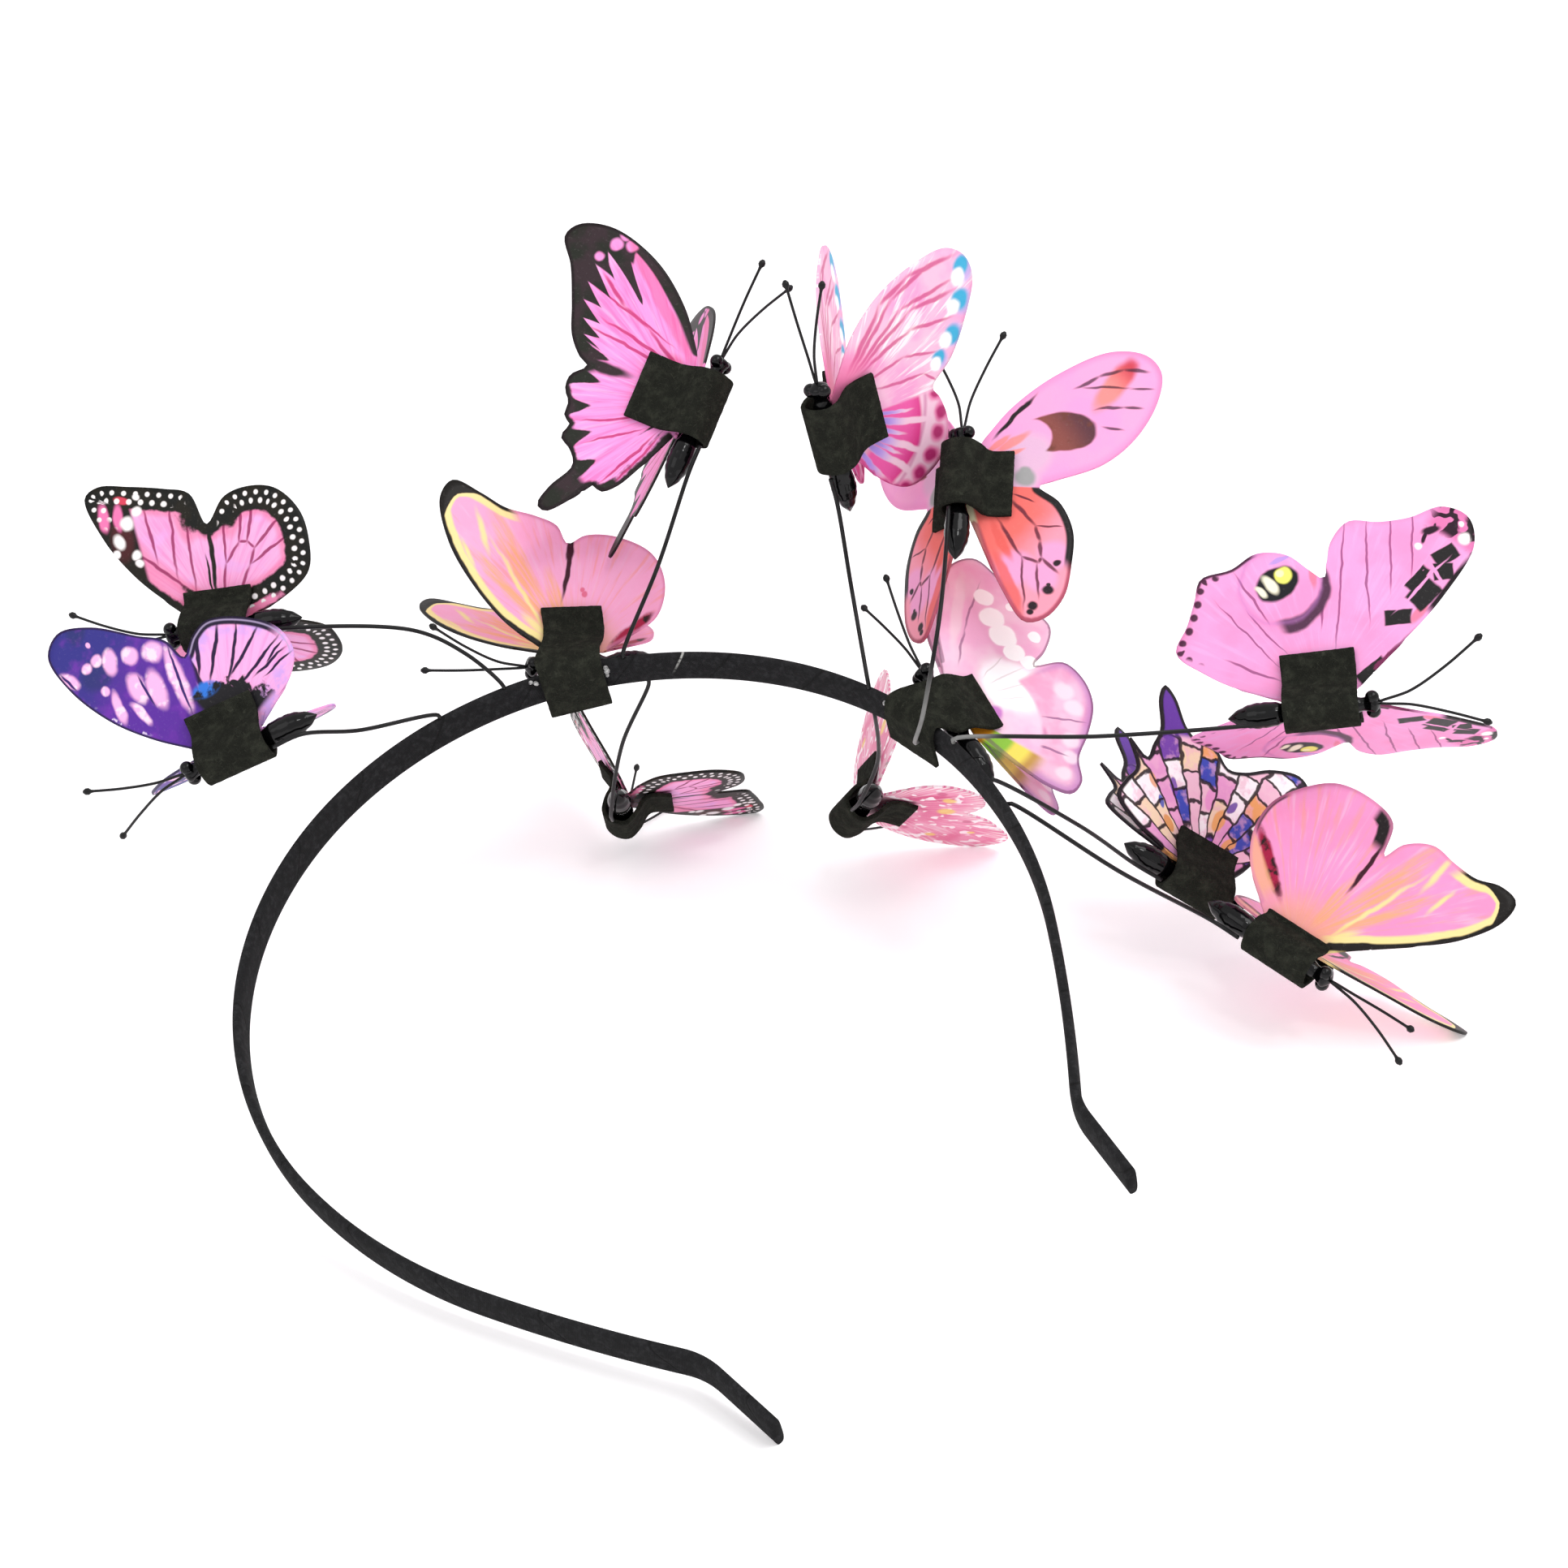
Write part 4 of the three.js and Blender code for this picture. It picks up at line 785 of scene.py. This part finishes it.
def print_peacock(wing, butterfly):
    """Pink with charcoal blocks along the front and one round eye on each hindwing."""
    tone = over("fba8e6", "fb9cd8", fade(grain(wing.place, 3.5), 0.4, 0.65))
    tone = over(tone, "f6b8f2", streaked(wing, 0.5, 0.7) * 0.5)
    fine = patches(wing, ((20, 0.24), (12, 0.80), 0.005), ((35, 0.40), (18.5, 0.82), 0.005), ((36.5, 0.56), (24.5, 0.86), 0.005),
                   ((40, 0.66), (30, 0.90), 0.005), ((6, 0.32), (6, 0.52), 0.006), ((-28, 0.68), (-27, 0.42), 0.006),
                   ((-44, 0.24), (-40, 0.62), 0.004), ((-58, 0.2), (-60, 0.44), 0.006), ((-30, 0.26), (-33, 0.5), 0.004))
    tone = over(tone, "8c3a78", fine * 0.8)
    tone = over(tone, "f07a98", patches(wing, ((2, 0.66), (1, 0.50), 0.018), ((55, 0.5), (51, 0.62), 0.02)) * 0.8)
    moon = spot(wing, -13, 0.525, 0.200, 0.05) * (1 - spot(wing, -14, 0.575, 0.188, 0.05)) * fade(wing.angle, -26.0, -18.0)
    tone = over(tone, "54304e", moon)
    tone = over(tone, "c07ac8", between(wing.place.node("VectorMath", {"operation": "DISTANCE"}, {0: wing.place, 1: on_wing((-14, 0.545))}, 1), 0.165, 0.180, 0.012) * 0.5)
    tone = over(tone, "14141c", patch(wing, (-5.5, 0.585), (-25, 0.545), 0.074, 0.1))
    tone = over(tone, "eef070", spot(wing, -11.5, 0.585, 0.040, 0.15))
    tone = over(tone, "f6f6b8", spot(wing, -12.5, 0.60, 0.018))
    tone = over(tone, "f2f0d8", patches(wing, ((-19.5, 0.61), (-16.5, 0.515), 0.021), ((-24, 0.585), (-21.5, 0.52), 0.014)))
    tone = over(tone, "b49cf0", patches(wing, ((-7, 0.665), (-15, 0.655), 0.010)) * 0.8)
    squares = blocks(wing, ((42, 0.44), (52, 0.52), 0.034), ((48, 0.56), (48.5, 0.69), 0.048), ((42.5, 0.60), (43, 0.72), 0.022),
                     ((46, 0.72), (50, 0.78), 0.036), ((43.5, 0.76), (46, 0.86), 0.034), ((68, 0.18), (62, 0.32), 0.022))
    squares = squares * (1 - patches(wing, ((44.5, 0.50), (46, 0.80), 0.006), ((40, 0.76), (54, 0.70), 0.006)))
    tone = over(tone, "1e1c1e", squares * fade(grain(wing.place, 30.0), 0.20, 0.32))
    tip = fade(wing.radius, 0.86, 0.90) * fade(wing.angle, 33.0, 37.0)
    tone = over(tone, "e070b0", tip * 0.8)
    tone = over(tone, "2a1024", tip * fade(grain(wing.place, 17.0, 1.0), 0.52, 0.56))
    tone = over(tone, "2a1024", patches(wing, ((35, 0.84), (39, 0.895), 0.018), ((37, 0.80), (36, 0.86), 0.010)))
    tone = over(tone, "fdf6fa", spots(wing, (46, 0.915, 0.026), (36.5, 0.78, 0.016), (43, 0.955, 0.012)))
    tone = over(tone, "1c1018", fade(wing.margin, 0.9, 0.5) * (between(wing.angle, 43.0, 47.5, 1.0) | between(wing.angle, 50.5, 58.0, 1.0) * fade(wing.radius, 0.56, 0.62)))
    fringe = beads(wing, 2.3, 0.7, 0.62, -66.0, -33.0) | fade(wing.margin, 0.7, 0.3) * between(wing.angle, -42.0, -19.0, 2.0)
    tone = over(tone, "3a1430", fringe * 0.95)
    return over(tone, "7a2a58", fade(wing.margin + grain(wing.place, 22.0) * 0.8, 0.85, 0.6) * between(wing.angle, 58.0, 66.0, 2.0))


def print_tailed(wing, butterfly):
    """A mosaic of cream, orange, pink, blue and white panes with black outlines, and violet tails."""
    column = wing.angle / 11.0 + grain(wing.place, 5.0) * 0.8
    row = wing.radius ** 1.6 / 0.17 + grain(wing.place, 7.0) * 0.7 + wing.start.math("FLOOR", column) * 0.37
    cell = wing.start.node("CombineXYZ", {}, {0: wing.start.math("FLOOR", column), 1: wing.start.math("FLOOR", row)})
    chance = cell.node("TexWhiteNoise", {"noise_dimensions": "2D"}, {"Vector": cell}, "Value")
    stops = [(0.0, ink("fbe2c4")), (0.2, ink("fbd0e8")), (0.38, ink("fdfafc")), (0.54, ink("f0a8e0")), (0.68, ink("f6b070")),
             (0.8, ink("7a48b8")), (0.9, ink("3f4fc0"))]
    tone = chance.node("ValToRGB", {"stops": stops}, {"Fac": chance})
    tone.socket.node.color_ramp.interpolation = "CONSTANT"
    tone = over(tone, "fac0e4", fade(grain(wing.place, 14.0), 0.45, 0.65) * 0.5)
    pane = ((4, 0.34, 0.075, "f8b468"), (26, 0.27, 0.06, "f8b468"), (-56, 0.30, 0.05, "e8a058"), (-27, 0.64, 0.05, "fbe4bc"),
            (-50, 0.54, 0.045, "f6b48c"), (-14, 0.56, 0.035, "4048c0"), (-52, 0.42, 0.035, "3c58c8"), (-37, 0.47, 0.05, "7c4cc0"),
            (9, 0.46, 0.045, "6c40b4"), (-8, 0.44, 0.07, "f6a4e4"))
    for angle, reach, size, colour in pane:
        tone = over(tone, colour, patch(wing, (angle, reach - size), (angle + 2, reach + size), size * 0.45, 0.15) * 0.9)
    lead = fade(abs(wing.start.math("FRACT", column) - 0.5), 0.40, 0.45) | fade(abs(wing.start.math("FRACT", row) - 0.5), 0.41, 0.46)
    tone = over(tone, "1c0c18", lead * 0.95)
    tone = over(tone, "6a3cae", fade(wing.radius, 0.74, 0.78) * between(wing.angle, -55.0, -20.0, 2.0))
    return over(tone, "180c18", fade(wing.margin, 0.9, 0.5))


def print_speckled(wing, butterfly):
    """Rose with scattered white flecks and a few yellow marks, frayed along the edge."""
    tone = over("f39cc2", "ea7aa8", fade(grain(wing.place, 4.0), 0.42, 0.6))
    tone = over(tone, "d84c86", patches(wing, ((-55, 0.25), (-40, 0.55), 0.05), ((-30, 0.2), (-10, 0.35), 0.03)) * 0.8)
    tone = over(tone, "fbd6e8", streaked(wing, 0.52, 0.66) * 0.8)
    tone = over(tone, "fdeef4", fade(grain(wing.place, 13.0, 1.0), 0.58, 0.63))
    tone = over(tone, "f8d478", spots(wing, (-12, 0.44, 0.050), (-36, 0.48, 0.036), (38, 0.60, 0.03), (20, 0.72, 0.02)) * 0.9)
    tone = over(tone, "c83c78", spots(wing, (-50, 0.5, 0.03), (5, 0.6, 0.025), (46, 0.42, 0.03)) * 0.6)
    frayed = fade(wing.margin, 3.4, 0.4) * fade(wing.start.math("FRACT", wing.angle / 3.1 + grain(wing.place, 8.0) * 0.6), 0.45, 0.6)
    return over(tone, "fdf4f8", frayed * 0.7)


PRINTS = {"monarch": print_monarch, "resting": print_monarch, "indigo": print_indigo, "blush": print_petal, "petal": print_petal,
          "swallowtail": print_swallowtail, "dotted": print_dotted, "crescent": print_crescent, "pearl": print_pearl,
          "peacock": print_peacock, "tailed": print_tailed, "speckled": print_speckled}
for butterfly in BUTTERFLIES:
    wing = film_start(butterfly.name + "_film")
    sheet = wing_sheet(butterfly)
    piece = make_piece(butterfly.name + "_film", sheet, film_finish(wing, PRINTS[butterfly.name](wing, butterfly)),
                       butterfly.name + "_print", butterfly.name + "_wings")
    solid = piece.modifiers.new("film", "SOLIDIFY")
    solid.thickness, solid.offset = SHOWN_FILM * MM, 0

# Bodies
# Each is one black moulding, glossy, with round eyes, a humped thorax and a ringed abdomen.
# Its underside lies in the fold of the felt, and its back is just under the fold of the film.
BODY_STEPS = 64
BODY_TURNS = 28


body_line = smooth_line([Vector((along, share, 0)) for along, share in sorted(PLAIN_BODY)], 200)


def body_radius(along):
    """The moulding's radius by share of reach, head positive and tail negative, with rings on the abdomen."""
    radius = float(np.interp(along, [p.x for p in body_line], [p.y for p in body_line])) * BODY_RADIUS
    if along < -0.36:
        radius *= 1 + 0.03 * math.sin(along * 62)
    return radius


def gloss_black():
    """Black moulded plastic with faint flow marks."""
    material, start = blank_material("gloss_black")
    place = start.node("TexCoord", {}, {}, "Object")
    flow = grain(place, 700.0, 2.0)
    tone = over("040405", "0c0c0d", fade(flow, 0.45, 0.8) * 0.5)
    return coat(material, {"Specular IOR Level": 0.12, "Coat Weight": 0.28, "Coat Roughness": 0.04},
                {"Base Color": tone, "Roughness": 0.12 + flow * 0.14}, flow, 0.006 * MM)


black = gloss_black()
for butterfly in BUTTERFLIES:
    bm = bmesh.new()
    rings = []
    for k in range(BODY_STEPS + 1):
        along = math.cos(math.pi * k / BODY_STEPS)
        ahead = along * (HEAD_REACH if along > 0 else TAIL_REACH)
        end = math.sqrt(max(0.0, 1 - ((abs(along) - 0.9) / 0.1) ** 2)) if abs(along) > 0.9 else 1.0
        radius = max(body_radius(along) * end, 0.03)
        rings.append([butterfly.place(ahead, radius * math.cos(t), radius * math.sin(t) - BODY_AXIS)
                      for t in (2 * math.pi * j / BODY_TURNS for j in range(BODY_TURNS))])
    sweep(bm, rings)
    nose, right, back = butterfly.axes
    for side in (-1, 1):
        eye = Matrix.Translation(butterfly.place(0.86 * HEAD_REACH, side * 1.25, -BODY_AXIS - 0.35))
        bmesh.ops.create_uvsphere(bm, u_segments=16, v_segments=10, radius=1.15 * MM, matrix=eye)
    make_piece(butterfly.name + "_moulding", bm, black, "body_gloss", butterfly.name + "_body")

# Antennae
# One thin black wire is bent in two ahead of the head, and a small bead of paint closes each end.
ANTENNA_LENGTH = 16
ANTENNA_START = HEAD_REACH + GAP + 0.35
ANTENNA_BEND = HEAD_REACH - 0.4
ANTENNA_RADIUS = 0.24
ANTENNA_KNOB = 0.62


def tube(bm, path, radius_at, sides):
    """A round wire along a path that is already in the frame."""
    rings = []
    spoke = None
    for i, point in enumerate(path):
        ahead = (path[min(i + 1, len(path) - 1)] - path[max(i - 1, 0)]).normalized()
        if spoke is None:
            spoke = ahead.orthogonal()
        spoke = (spoke - ahead * spoke.dot(ahead)).normalized()
        other = ahead.cross(spoke)
        radius = radius_at(i / (len(path) - 1)) * MM
        rings.append([point + (spoke * math.cos(t) + other * math.sin(t)) * radius
                      for t in (2 * math.pi * j / sides for j in range(sides))])
    return sweep(bm, rings)


def painted_wire():
    """Thin wire with black paint, a little uneven."""
    material, start = blank_material("painted_wire")
    place = start.node("TexCoord", {}, {}, "Object")
    flow = grain(place, 500.0, 2.0)
    return coat(material, {"Specular IOR Level": 0.25}, {"Base Color": over("0b0b0c", "1c1c1e", fade(flow, 0.4, 0.8) * 0.6),
                                                         "Roughness": 0.3 + flow * 0.2}, flow, 0.04 * MM)


wire_black = painted_wire()
for butterfly in BUTTERFLIES:
    left, right, lift = butterfly.feelers

    def feeler(share, side):
        return butterfly.place(ANTENNA_START + ANTENNA_LENGTH * share,
                               side * share ** 1.4 + math.copysign(share, side), lift * share ** 1.6 - BODY_AXIS)

    path = smooth_line([feeler(1, left), feeler(0.6, left), feeler(0.25, left), butterfly.place(ANTENNA_BEND, 0, -BODY_AXIS),
                        feeler(0.25, right), feeler(0.6, right), feeler(1, right)], 81)
    bm = bmesh.new()
    tube(bm, path, lambda share: max(ANTENNA_RADIUS, ANTENNA_KNOB * math.sqrt(max(0.0, 1 - ((min(share, 1 - share) - 0.02) / 0.02) ** 2))), 10)
    make_piece(butterfly.name + "_feelers", bm, wire_black, "antenna_wire", butterfly.name + "_antennae")

# Felt
# A square of thick black felt is folded round each belly and glued to both wings near their roots.
# Two butterflies sit on the band itself, and there a longer piece straps the band to the belly.
FELT_LENGTH = 12
FELT_THICKNESS = 0.9
STRAP_LENGTH = 10.8
STRAPS = {
    "blush": SimpleNamespace(stations=(31.2, 20.2), flap=5.5, over_belly=False),
    "pearl": SimpleNamespace(stations=(96.2, 84.8), flap=4.5, over_belly=True),
}
FELT_SHOWN = 0.8


def fold_path(butterfly):
    """Side and up of the felt's middle, from the end of the left leaf round the belly to the right."""
    lift = math.radians(butterfly.rise)
    away = FILM / 2 + GAP + FELT_THICKNESS / 2
    belly = BODY_RADIUS + GAP + FELT_THICKNESS / 2

    def leaf(out):
        return out * math.cos(lift) + away * math.sin(lift), out * math.sin(lift) - away * math.cos(lift)

    def half(length):
        return [(belly * 0.75, -BODY_AXIS - belly * 0.75), (belly * 1.02, -BODY_AXIS), leaf(min(3.4, length - 1)), leaf(length)]

    left = [(-x, z) for x, z in reversed(half(butterfly.leaves[0]))]
    return [*left, (0, -BODY_AXIS - belly), *half(butterfly.leaves[1])]


def strap_paths(butterfly):
    """Both edges of a strap, each from the flap below the band, round it and up to the wing."""
    strap = STRAPS[butterfly.name]
    lift = math.radians(butterfly.rise)
    away = FILM / 2 + GAP + FELT_THICKNESS / 2
    belly = BODY_RADIUS + GAP + FELT_THICKNESS / 2 + 0.25
    inner = BAND_THICKNESS / 2 + GAP + FELT_THICKNESS / 2
    paths = []
    for end, station in enumerate(strap.stations):
        ahead = (end - 0.5) * STRAP_LENGTH

        def leaf(out):
            return butterfly.place(ahead, -out * math.cos(lift) - away * math.sin(lift), out * math.sin(lift) - away * math.cos(lift))

        if strap.over_belly:
            round_part = [butterfly.place(ahead, -belly * 0.7, -BODY_AXIS - belly * 0.7), butterfly.place(ahead, -belly, -BODY_AXIS)]
        else:
            round_part = [settled(band_point(station, inner + 0.3, -BAND_WIDTH / 2 - inner))]
        paths.append([settled(band_point(station, -inner, strap.flap)), settled(band_point(station, -inner, 0.4 - BAND_WIDTH / 2)),
                      settled(band_point(station, -inner / 4, -BAND_WIDTH / 2 - inner / 2 - GAP)),
                      *round_part, leaf(3.4), leaf(butterfly.leaves[0])])
    return paths


def black_felt():
    """Pressed fibres: a dark mottled ground with paler stray hairs, all matte."""
    material, start = blank_material("black_felt")
    place = start.node("TexCoord", {}, {}, "Object")
    clumps = grain(place, 500.0, 5.0, 0.7)
    hairs = start.node("TexVoronoi", {"feature": "DISTANCE_TO_EDGE"}, {"Vector": place, "Scale": 1600.0})
    tone = over("1e1f1b", "35372f", fade(clumps, 0.4, 0.75) * 0.8)
    tone = over(tone, "4a4c42", fade(hairs, 0.05, 0.0) * 0.3)
    return coat(material, {"Roughness": 1.0, "Specular IOR Level": 0.05},
                {"Base Color": tone}, clumps * 1.0 + fade(hairs, 0.1, 0.0) * 0.3, 0.25 * MM)


felt_black = black_felt()
for butterfly in BUTTERFLIES:
    if butterfly.name in STRAPS:
        edges = strap_paths(butterfly)
    else:
        edges = [[butterfly.place(end * FELT_LENGTH, side, up) for side, up in fold_path(butterfly)] for end in (-0.5, 0.5)]
    steps, across_steps = 60, 24
    near, far = (smooth_line(edge, steps + 1) for edge in edges)
    bm = bmesh.new()
    bmesh.ops.create_grid(bm, x_segments=steps, y_segments=across_steps, size=1)
    for vert in bm.verts:
        i, j = round((vert.co.x + 1) / 2 * steps), (vert.co.y + 1) / 2
        point = near[i].lerp(far[i], j)
        vert.co = point + noise.noise_vector(point * 1500) * 0.05 * MM
    bmesh.ops.recalc_face_normals(bm, faces=bm.faces)
    piece = make_piece(butterfly.name + "_patch", bm, felt_black, "felt", butterfly.name + "_felt")
    solid = piece.modifiers.new("felt", "SOLIDIFY")
    solid.thickness, solid.offset = FELT_SHOWN * MM, 0
    soft = piece.modifiers.new("cut", "BEVEL")
    soft.width, soft.segments, soft.limit_method, soft.angle_limit = 0.16 * MM, 2, "ANGLE", math.radians(50)

# Wire stems
# Ten butterflies stand off the band on stiff black wires, glued to the band and tucked under the felt.
WIRE_CLEAR = GAP + 0.45
WIRE_RADIUS = 0.36
FELT_BOTTOM = BAND_THICKNESS / 2 + GAP + FELT_THICKNESS + 0.2
SEATS = {"top": (0, -BAND_WIDTH / 2 - WIRE_CLEAR), "bottom": (0, BAND_WIDTH / 2 + WIRE_CLEAR),
         "outer": (BAND_THICKNESS / 2 + WIRE_CLEAR, 0), "over_felt": (-FELT_BOTTOM - WIRE_CLEAR, 0)}
WIRES = {
    "monarch": SimpleNamespace(station=14, seat="top", via=((-54, 50, 52.5), (-63, 53, 55.5))),
    "indigo": SimpleNamespace(station=2, seat="top", via=((-70, 32.7, 46.2),)),
    "swallowtail": SimpleNamespace(station=35, seat="top", via=((-21, 52, 68),)),
    "dotted": SimpleNamespace(station=80, seat="top", via=((11, 43, 68),)),
    "crescent": SimpleNamespace(station=93, seat="over_felt", via=((22, 17.5, 56), (24.5, 23, 70))),
    "peacock": SimpleNamespace(station=100, seat="top", via=((50.6, 20.5, 50.8),)),
    "tailed": SimpleNamespace(station=108, seat="outer", via=((48, 20, 35),)),
    "petal": SimpleNamespace(station=114, seat="outer", via=((53, 6, 34),)),
    "resting": SimpleNamespace(station=38, seat="bottom", via=((-28, 54, 34),)),
    "speckled": SimpleNamespace(station=80, seat="bottom", via=((16, 46, 34),)),
}
# The first share of these wires is painted pale, for clear glue and a painted glint on it.
GLUE_GLINT_SHARES = {"crescent": 0.26, "peacock": 0.12}


def glue_glint_wire(name, share):
    """Painted wire, paler for its first share, where a skin of clear glue holds it down; the pale tone is partly a
    painted glint.
    """
    material, start = blank_material(name)
    along = start.node("Attribute", {"attribute_name": "along"}, {}, "Fac")
    flow = grain(start.node("TexCoord", {}, {}, "Object"), 500.0, 2.0)
    # Pale start of the wire: clear glue and a painted glint.
    tone = over("0b0b0c", "8e8e8c", fade(along, share * 1.5, share * 0.7) * (0.5 + flow * 0.4))
    return coat(material, {"Specular IOR Level": 0.25}, {"Base Color": tone, "Roughness": 0.3 + flow * 0.2}, flow, 0.04 * MM)


for butterfly in BUTTERFLIES:
    if butterfly.name not in WIRES:
        continue
    wire = WIRES[butterfly.name]
    up = -BODY_AXIS - BODY_RADIUS - WIRE_CLEAR - 0.1
    outward, across = SEATS[wire.seat]
    route = [settled(band_point(wire.station, outward * 0.72, across * 0.72)), settled(band_point(wire.station, outward, across)),
             *[settled(Vector(p)) for p in wire.via],
             butterfly.place(-FELT_LENGTH / 2 - WIRE_CLEAR - 5, 0, up), butterfly.place(-FELT_LENGTH / 2 - WIRE_CLEAR, 0, up)]
    bm = bmesh.new()
    far = bm.verts.layers.float.new("along")
    tracks = tube(bm, smooth_line(route, 60), lambda share: WIRE_RADIUS, 12)
    for k, track in enumerate(tracks):
        for vert in track:
            vert[far] = k / (len(tracks) - 1)
    finish = glue_glint_wire(butterfly.name + "_glued", GLUE_GLINT_SHARES[butterfly.name]) if butterfly.name in GLUE_GLINT_SHARES else wire_black
    make_piece(butterfly.name + "_stem", bm, finish, "stem_wire", butterfly.name + "_wire")

# Glue
# Beads of clear hot glue hold the straps and the wires; a few of them show beside the felt, painted pale as glints.
GLUE_BEADS = ((31.6, -1.0, -1.9, 0.42), (31.7, -1.0, -1.2, 0.5), (31.6, -1.0, -0.4, 0.4), (19.4, -1.0, -2.4, 0.5),
              (18.6, -0.9, -2.9, 0.4), (84.2, -1.0, -2.4, 0.45))


def clear_glue():
    """Cloudy clear glue with a bright wet skin; its pale colour is partly a painted glint."""
    material, start = blank_material("clear_glue")
    cloud = grain(start.node("TexCoord", {}, {}, "Object"), 600.0, 2.0)
    # Pale base colour: cloudy glue and a painted glint.
    return coat(material, {"Roughness": 0.12, "Coat Weight": 1.0, "Coat Roughness": 0.03},
                {"Base Color": over("8c8c8c", "e8e8e6", fade(cloud, 0.4, 0.6)), "Alpha": 0.45 + cloud * 0.5}, cloud, 0.05 * MM)


bm = bmesh.new()
for station, outward, across, size in GLUE_BEADS:
    middle = settled(band_point(station, outward, across))
    bmesh.ops.create_icosphere(bm, subdivisions=3, radius=size * MM, matrix=Matrix.Translation(middle))
for vert in bm.verts:
    vert.co += noise.noise_vector(vert.co * 700) * 0.2 * MM
make_piece("glue_beads", bm, clear_glue(), None)

# Table, light and camera
# A white table and a wide soft lamp from the upper right give faint shadows, as in a product photograph.
FOCAL_SHARE = 3400 / 1932
LOOK_DOWN = math.radians(26)
CAMERA_BACK, CAMERA_HEIGHT = 380.0, 237.632

scene = bpy.context.scene
scene.view_settings.view_transform = "Standard"
camera = bpy.data.objects.new("camera", bpy.data.cameras.new("camera"))
scene.collection.objects.link(camera)
camera.data.sensor_width = 36
camera.data.lens = FOCAL_SHARE * 36
camera.data.clip_start, camera.data.clip_end = 0.01, 20
camera.location = settled(Vector((0, -CAMERA_BACK, CAMERA_HEIGHT)))
camera.rotation_euler = (math.pi / 2 - LOOK_DOWN, 0, 0)
scene.camera = camera

bm = bmesh.new()
bmesh.ops.create_grid(bm, x_segments=1, y_segments=1, size=4)
mesh = bpy.data.meshes.new("table")
bm.to_mesh(mesh)
bm.free()
table = bpy.data.objects.new("table", mesh)
scene.collection.objects.link(table)
material, start = blank_material("white_table")
soft_grey = grain(start.node("TexCoord", {}, {}, "Object"), 3.0, 2.0)
mesh.materials.append(coat(material, {"Roughness": 0.6, "Specular IOR Level": 0.2,
                                      "Emission Color": (1, 0.98, 0.99, 1), "Emission Strength": 0.28},
                           {"Base Color": over("f4f3f4", "f8f7f8", soft_grey)}))

world = bpy.data.worlds.new("studio")
scene.world = world
world.use_nodes = True
world.node_tree.nodes["Background"].inputs["Color"].default_value = (1, 0.995, 1, 1)
world.node_tree.nodes["Background"].inputs["Strength"].default_value = 0.92
for name, place, size, watts in (("key", (0.55, -0.2, 1.3), 0.7, 6.0), ("fill", (-0.9, -0.9, 1.1), 1.0, 3.0),
                                 ("spark", (0.25, -0.6, 1.1), 0.12, 1.2)):
    lamp = bpy.data.lights.new(name, "AREA")
    lamp.size, lamp.energy = size, watts
    lamp_object = bpy.data.objects.new(name, lamp)
    scene.collection.objects.link(lamp_object)
    lamp_object.location = place
    lamp_object.rotation_euler = (-Vector(place)).to_track_quat("-Z", "Y").to_euler()
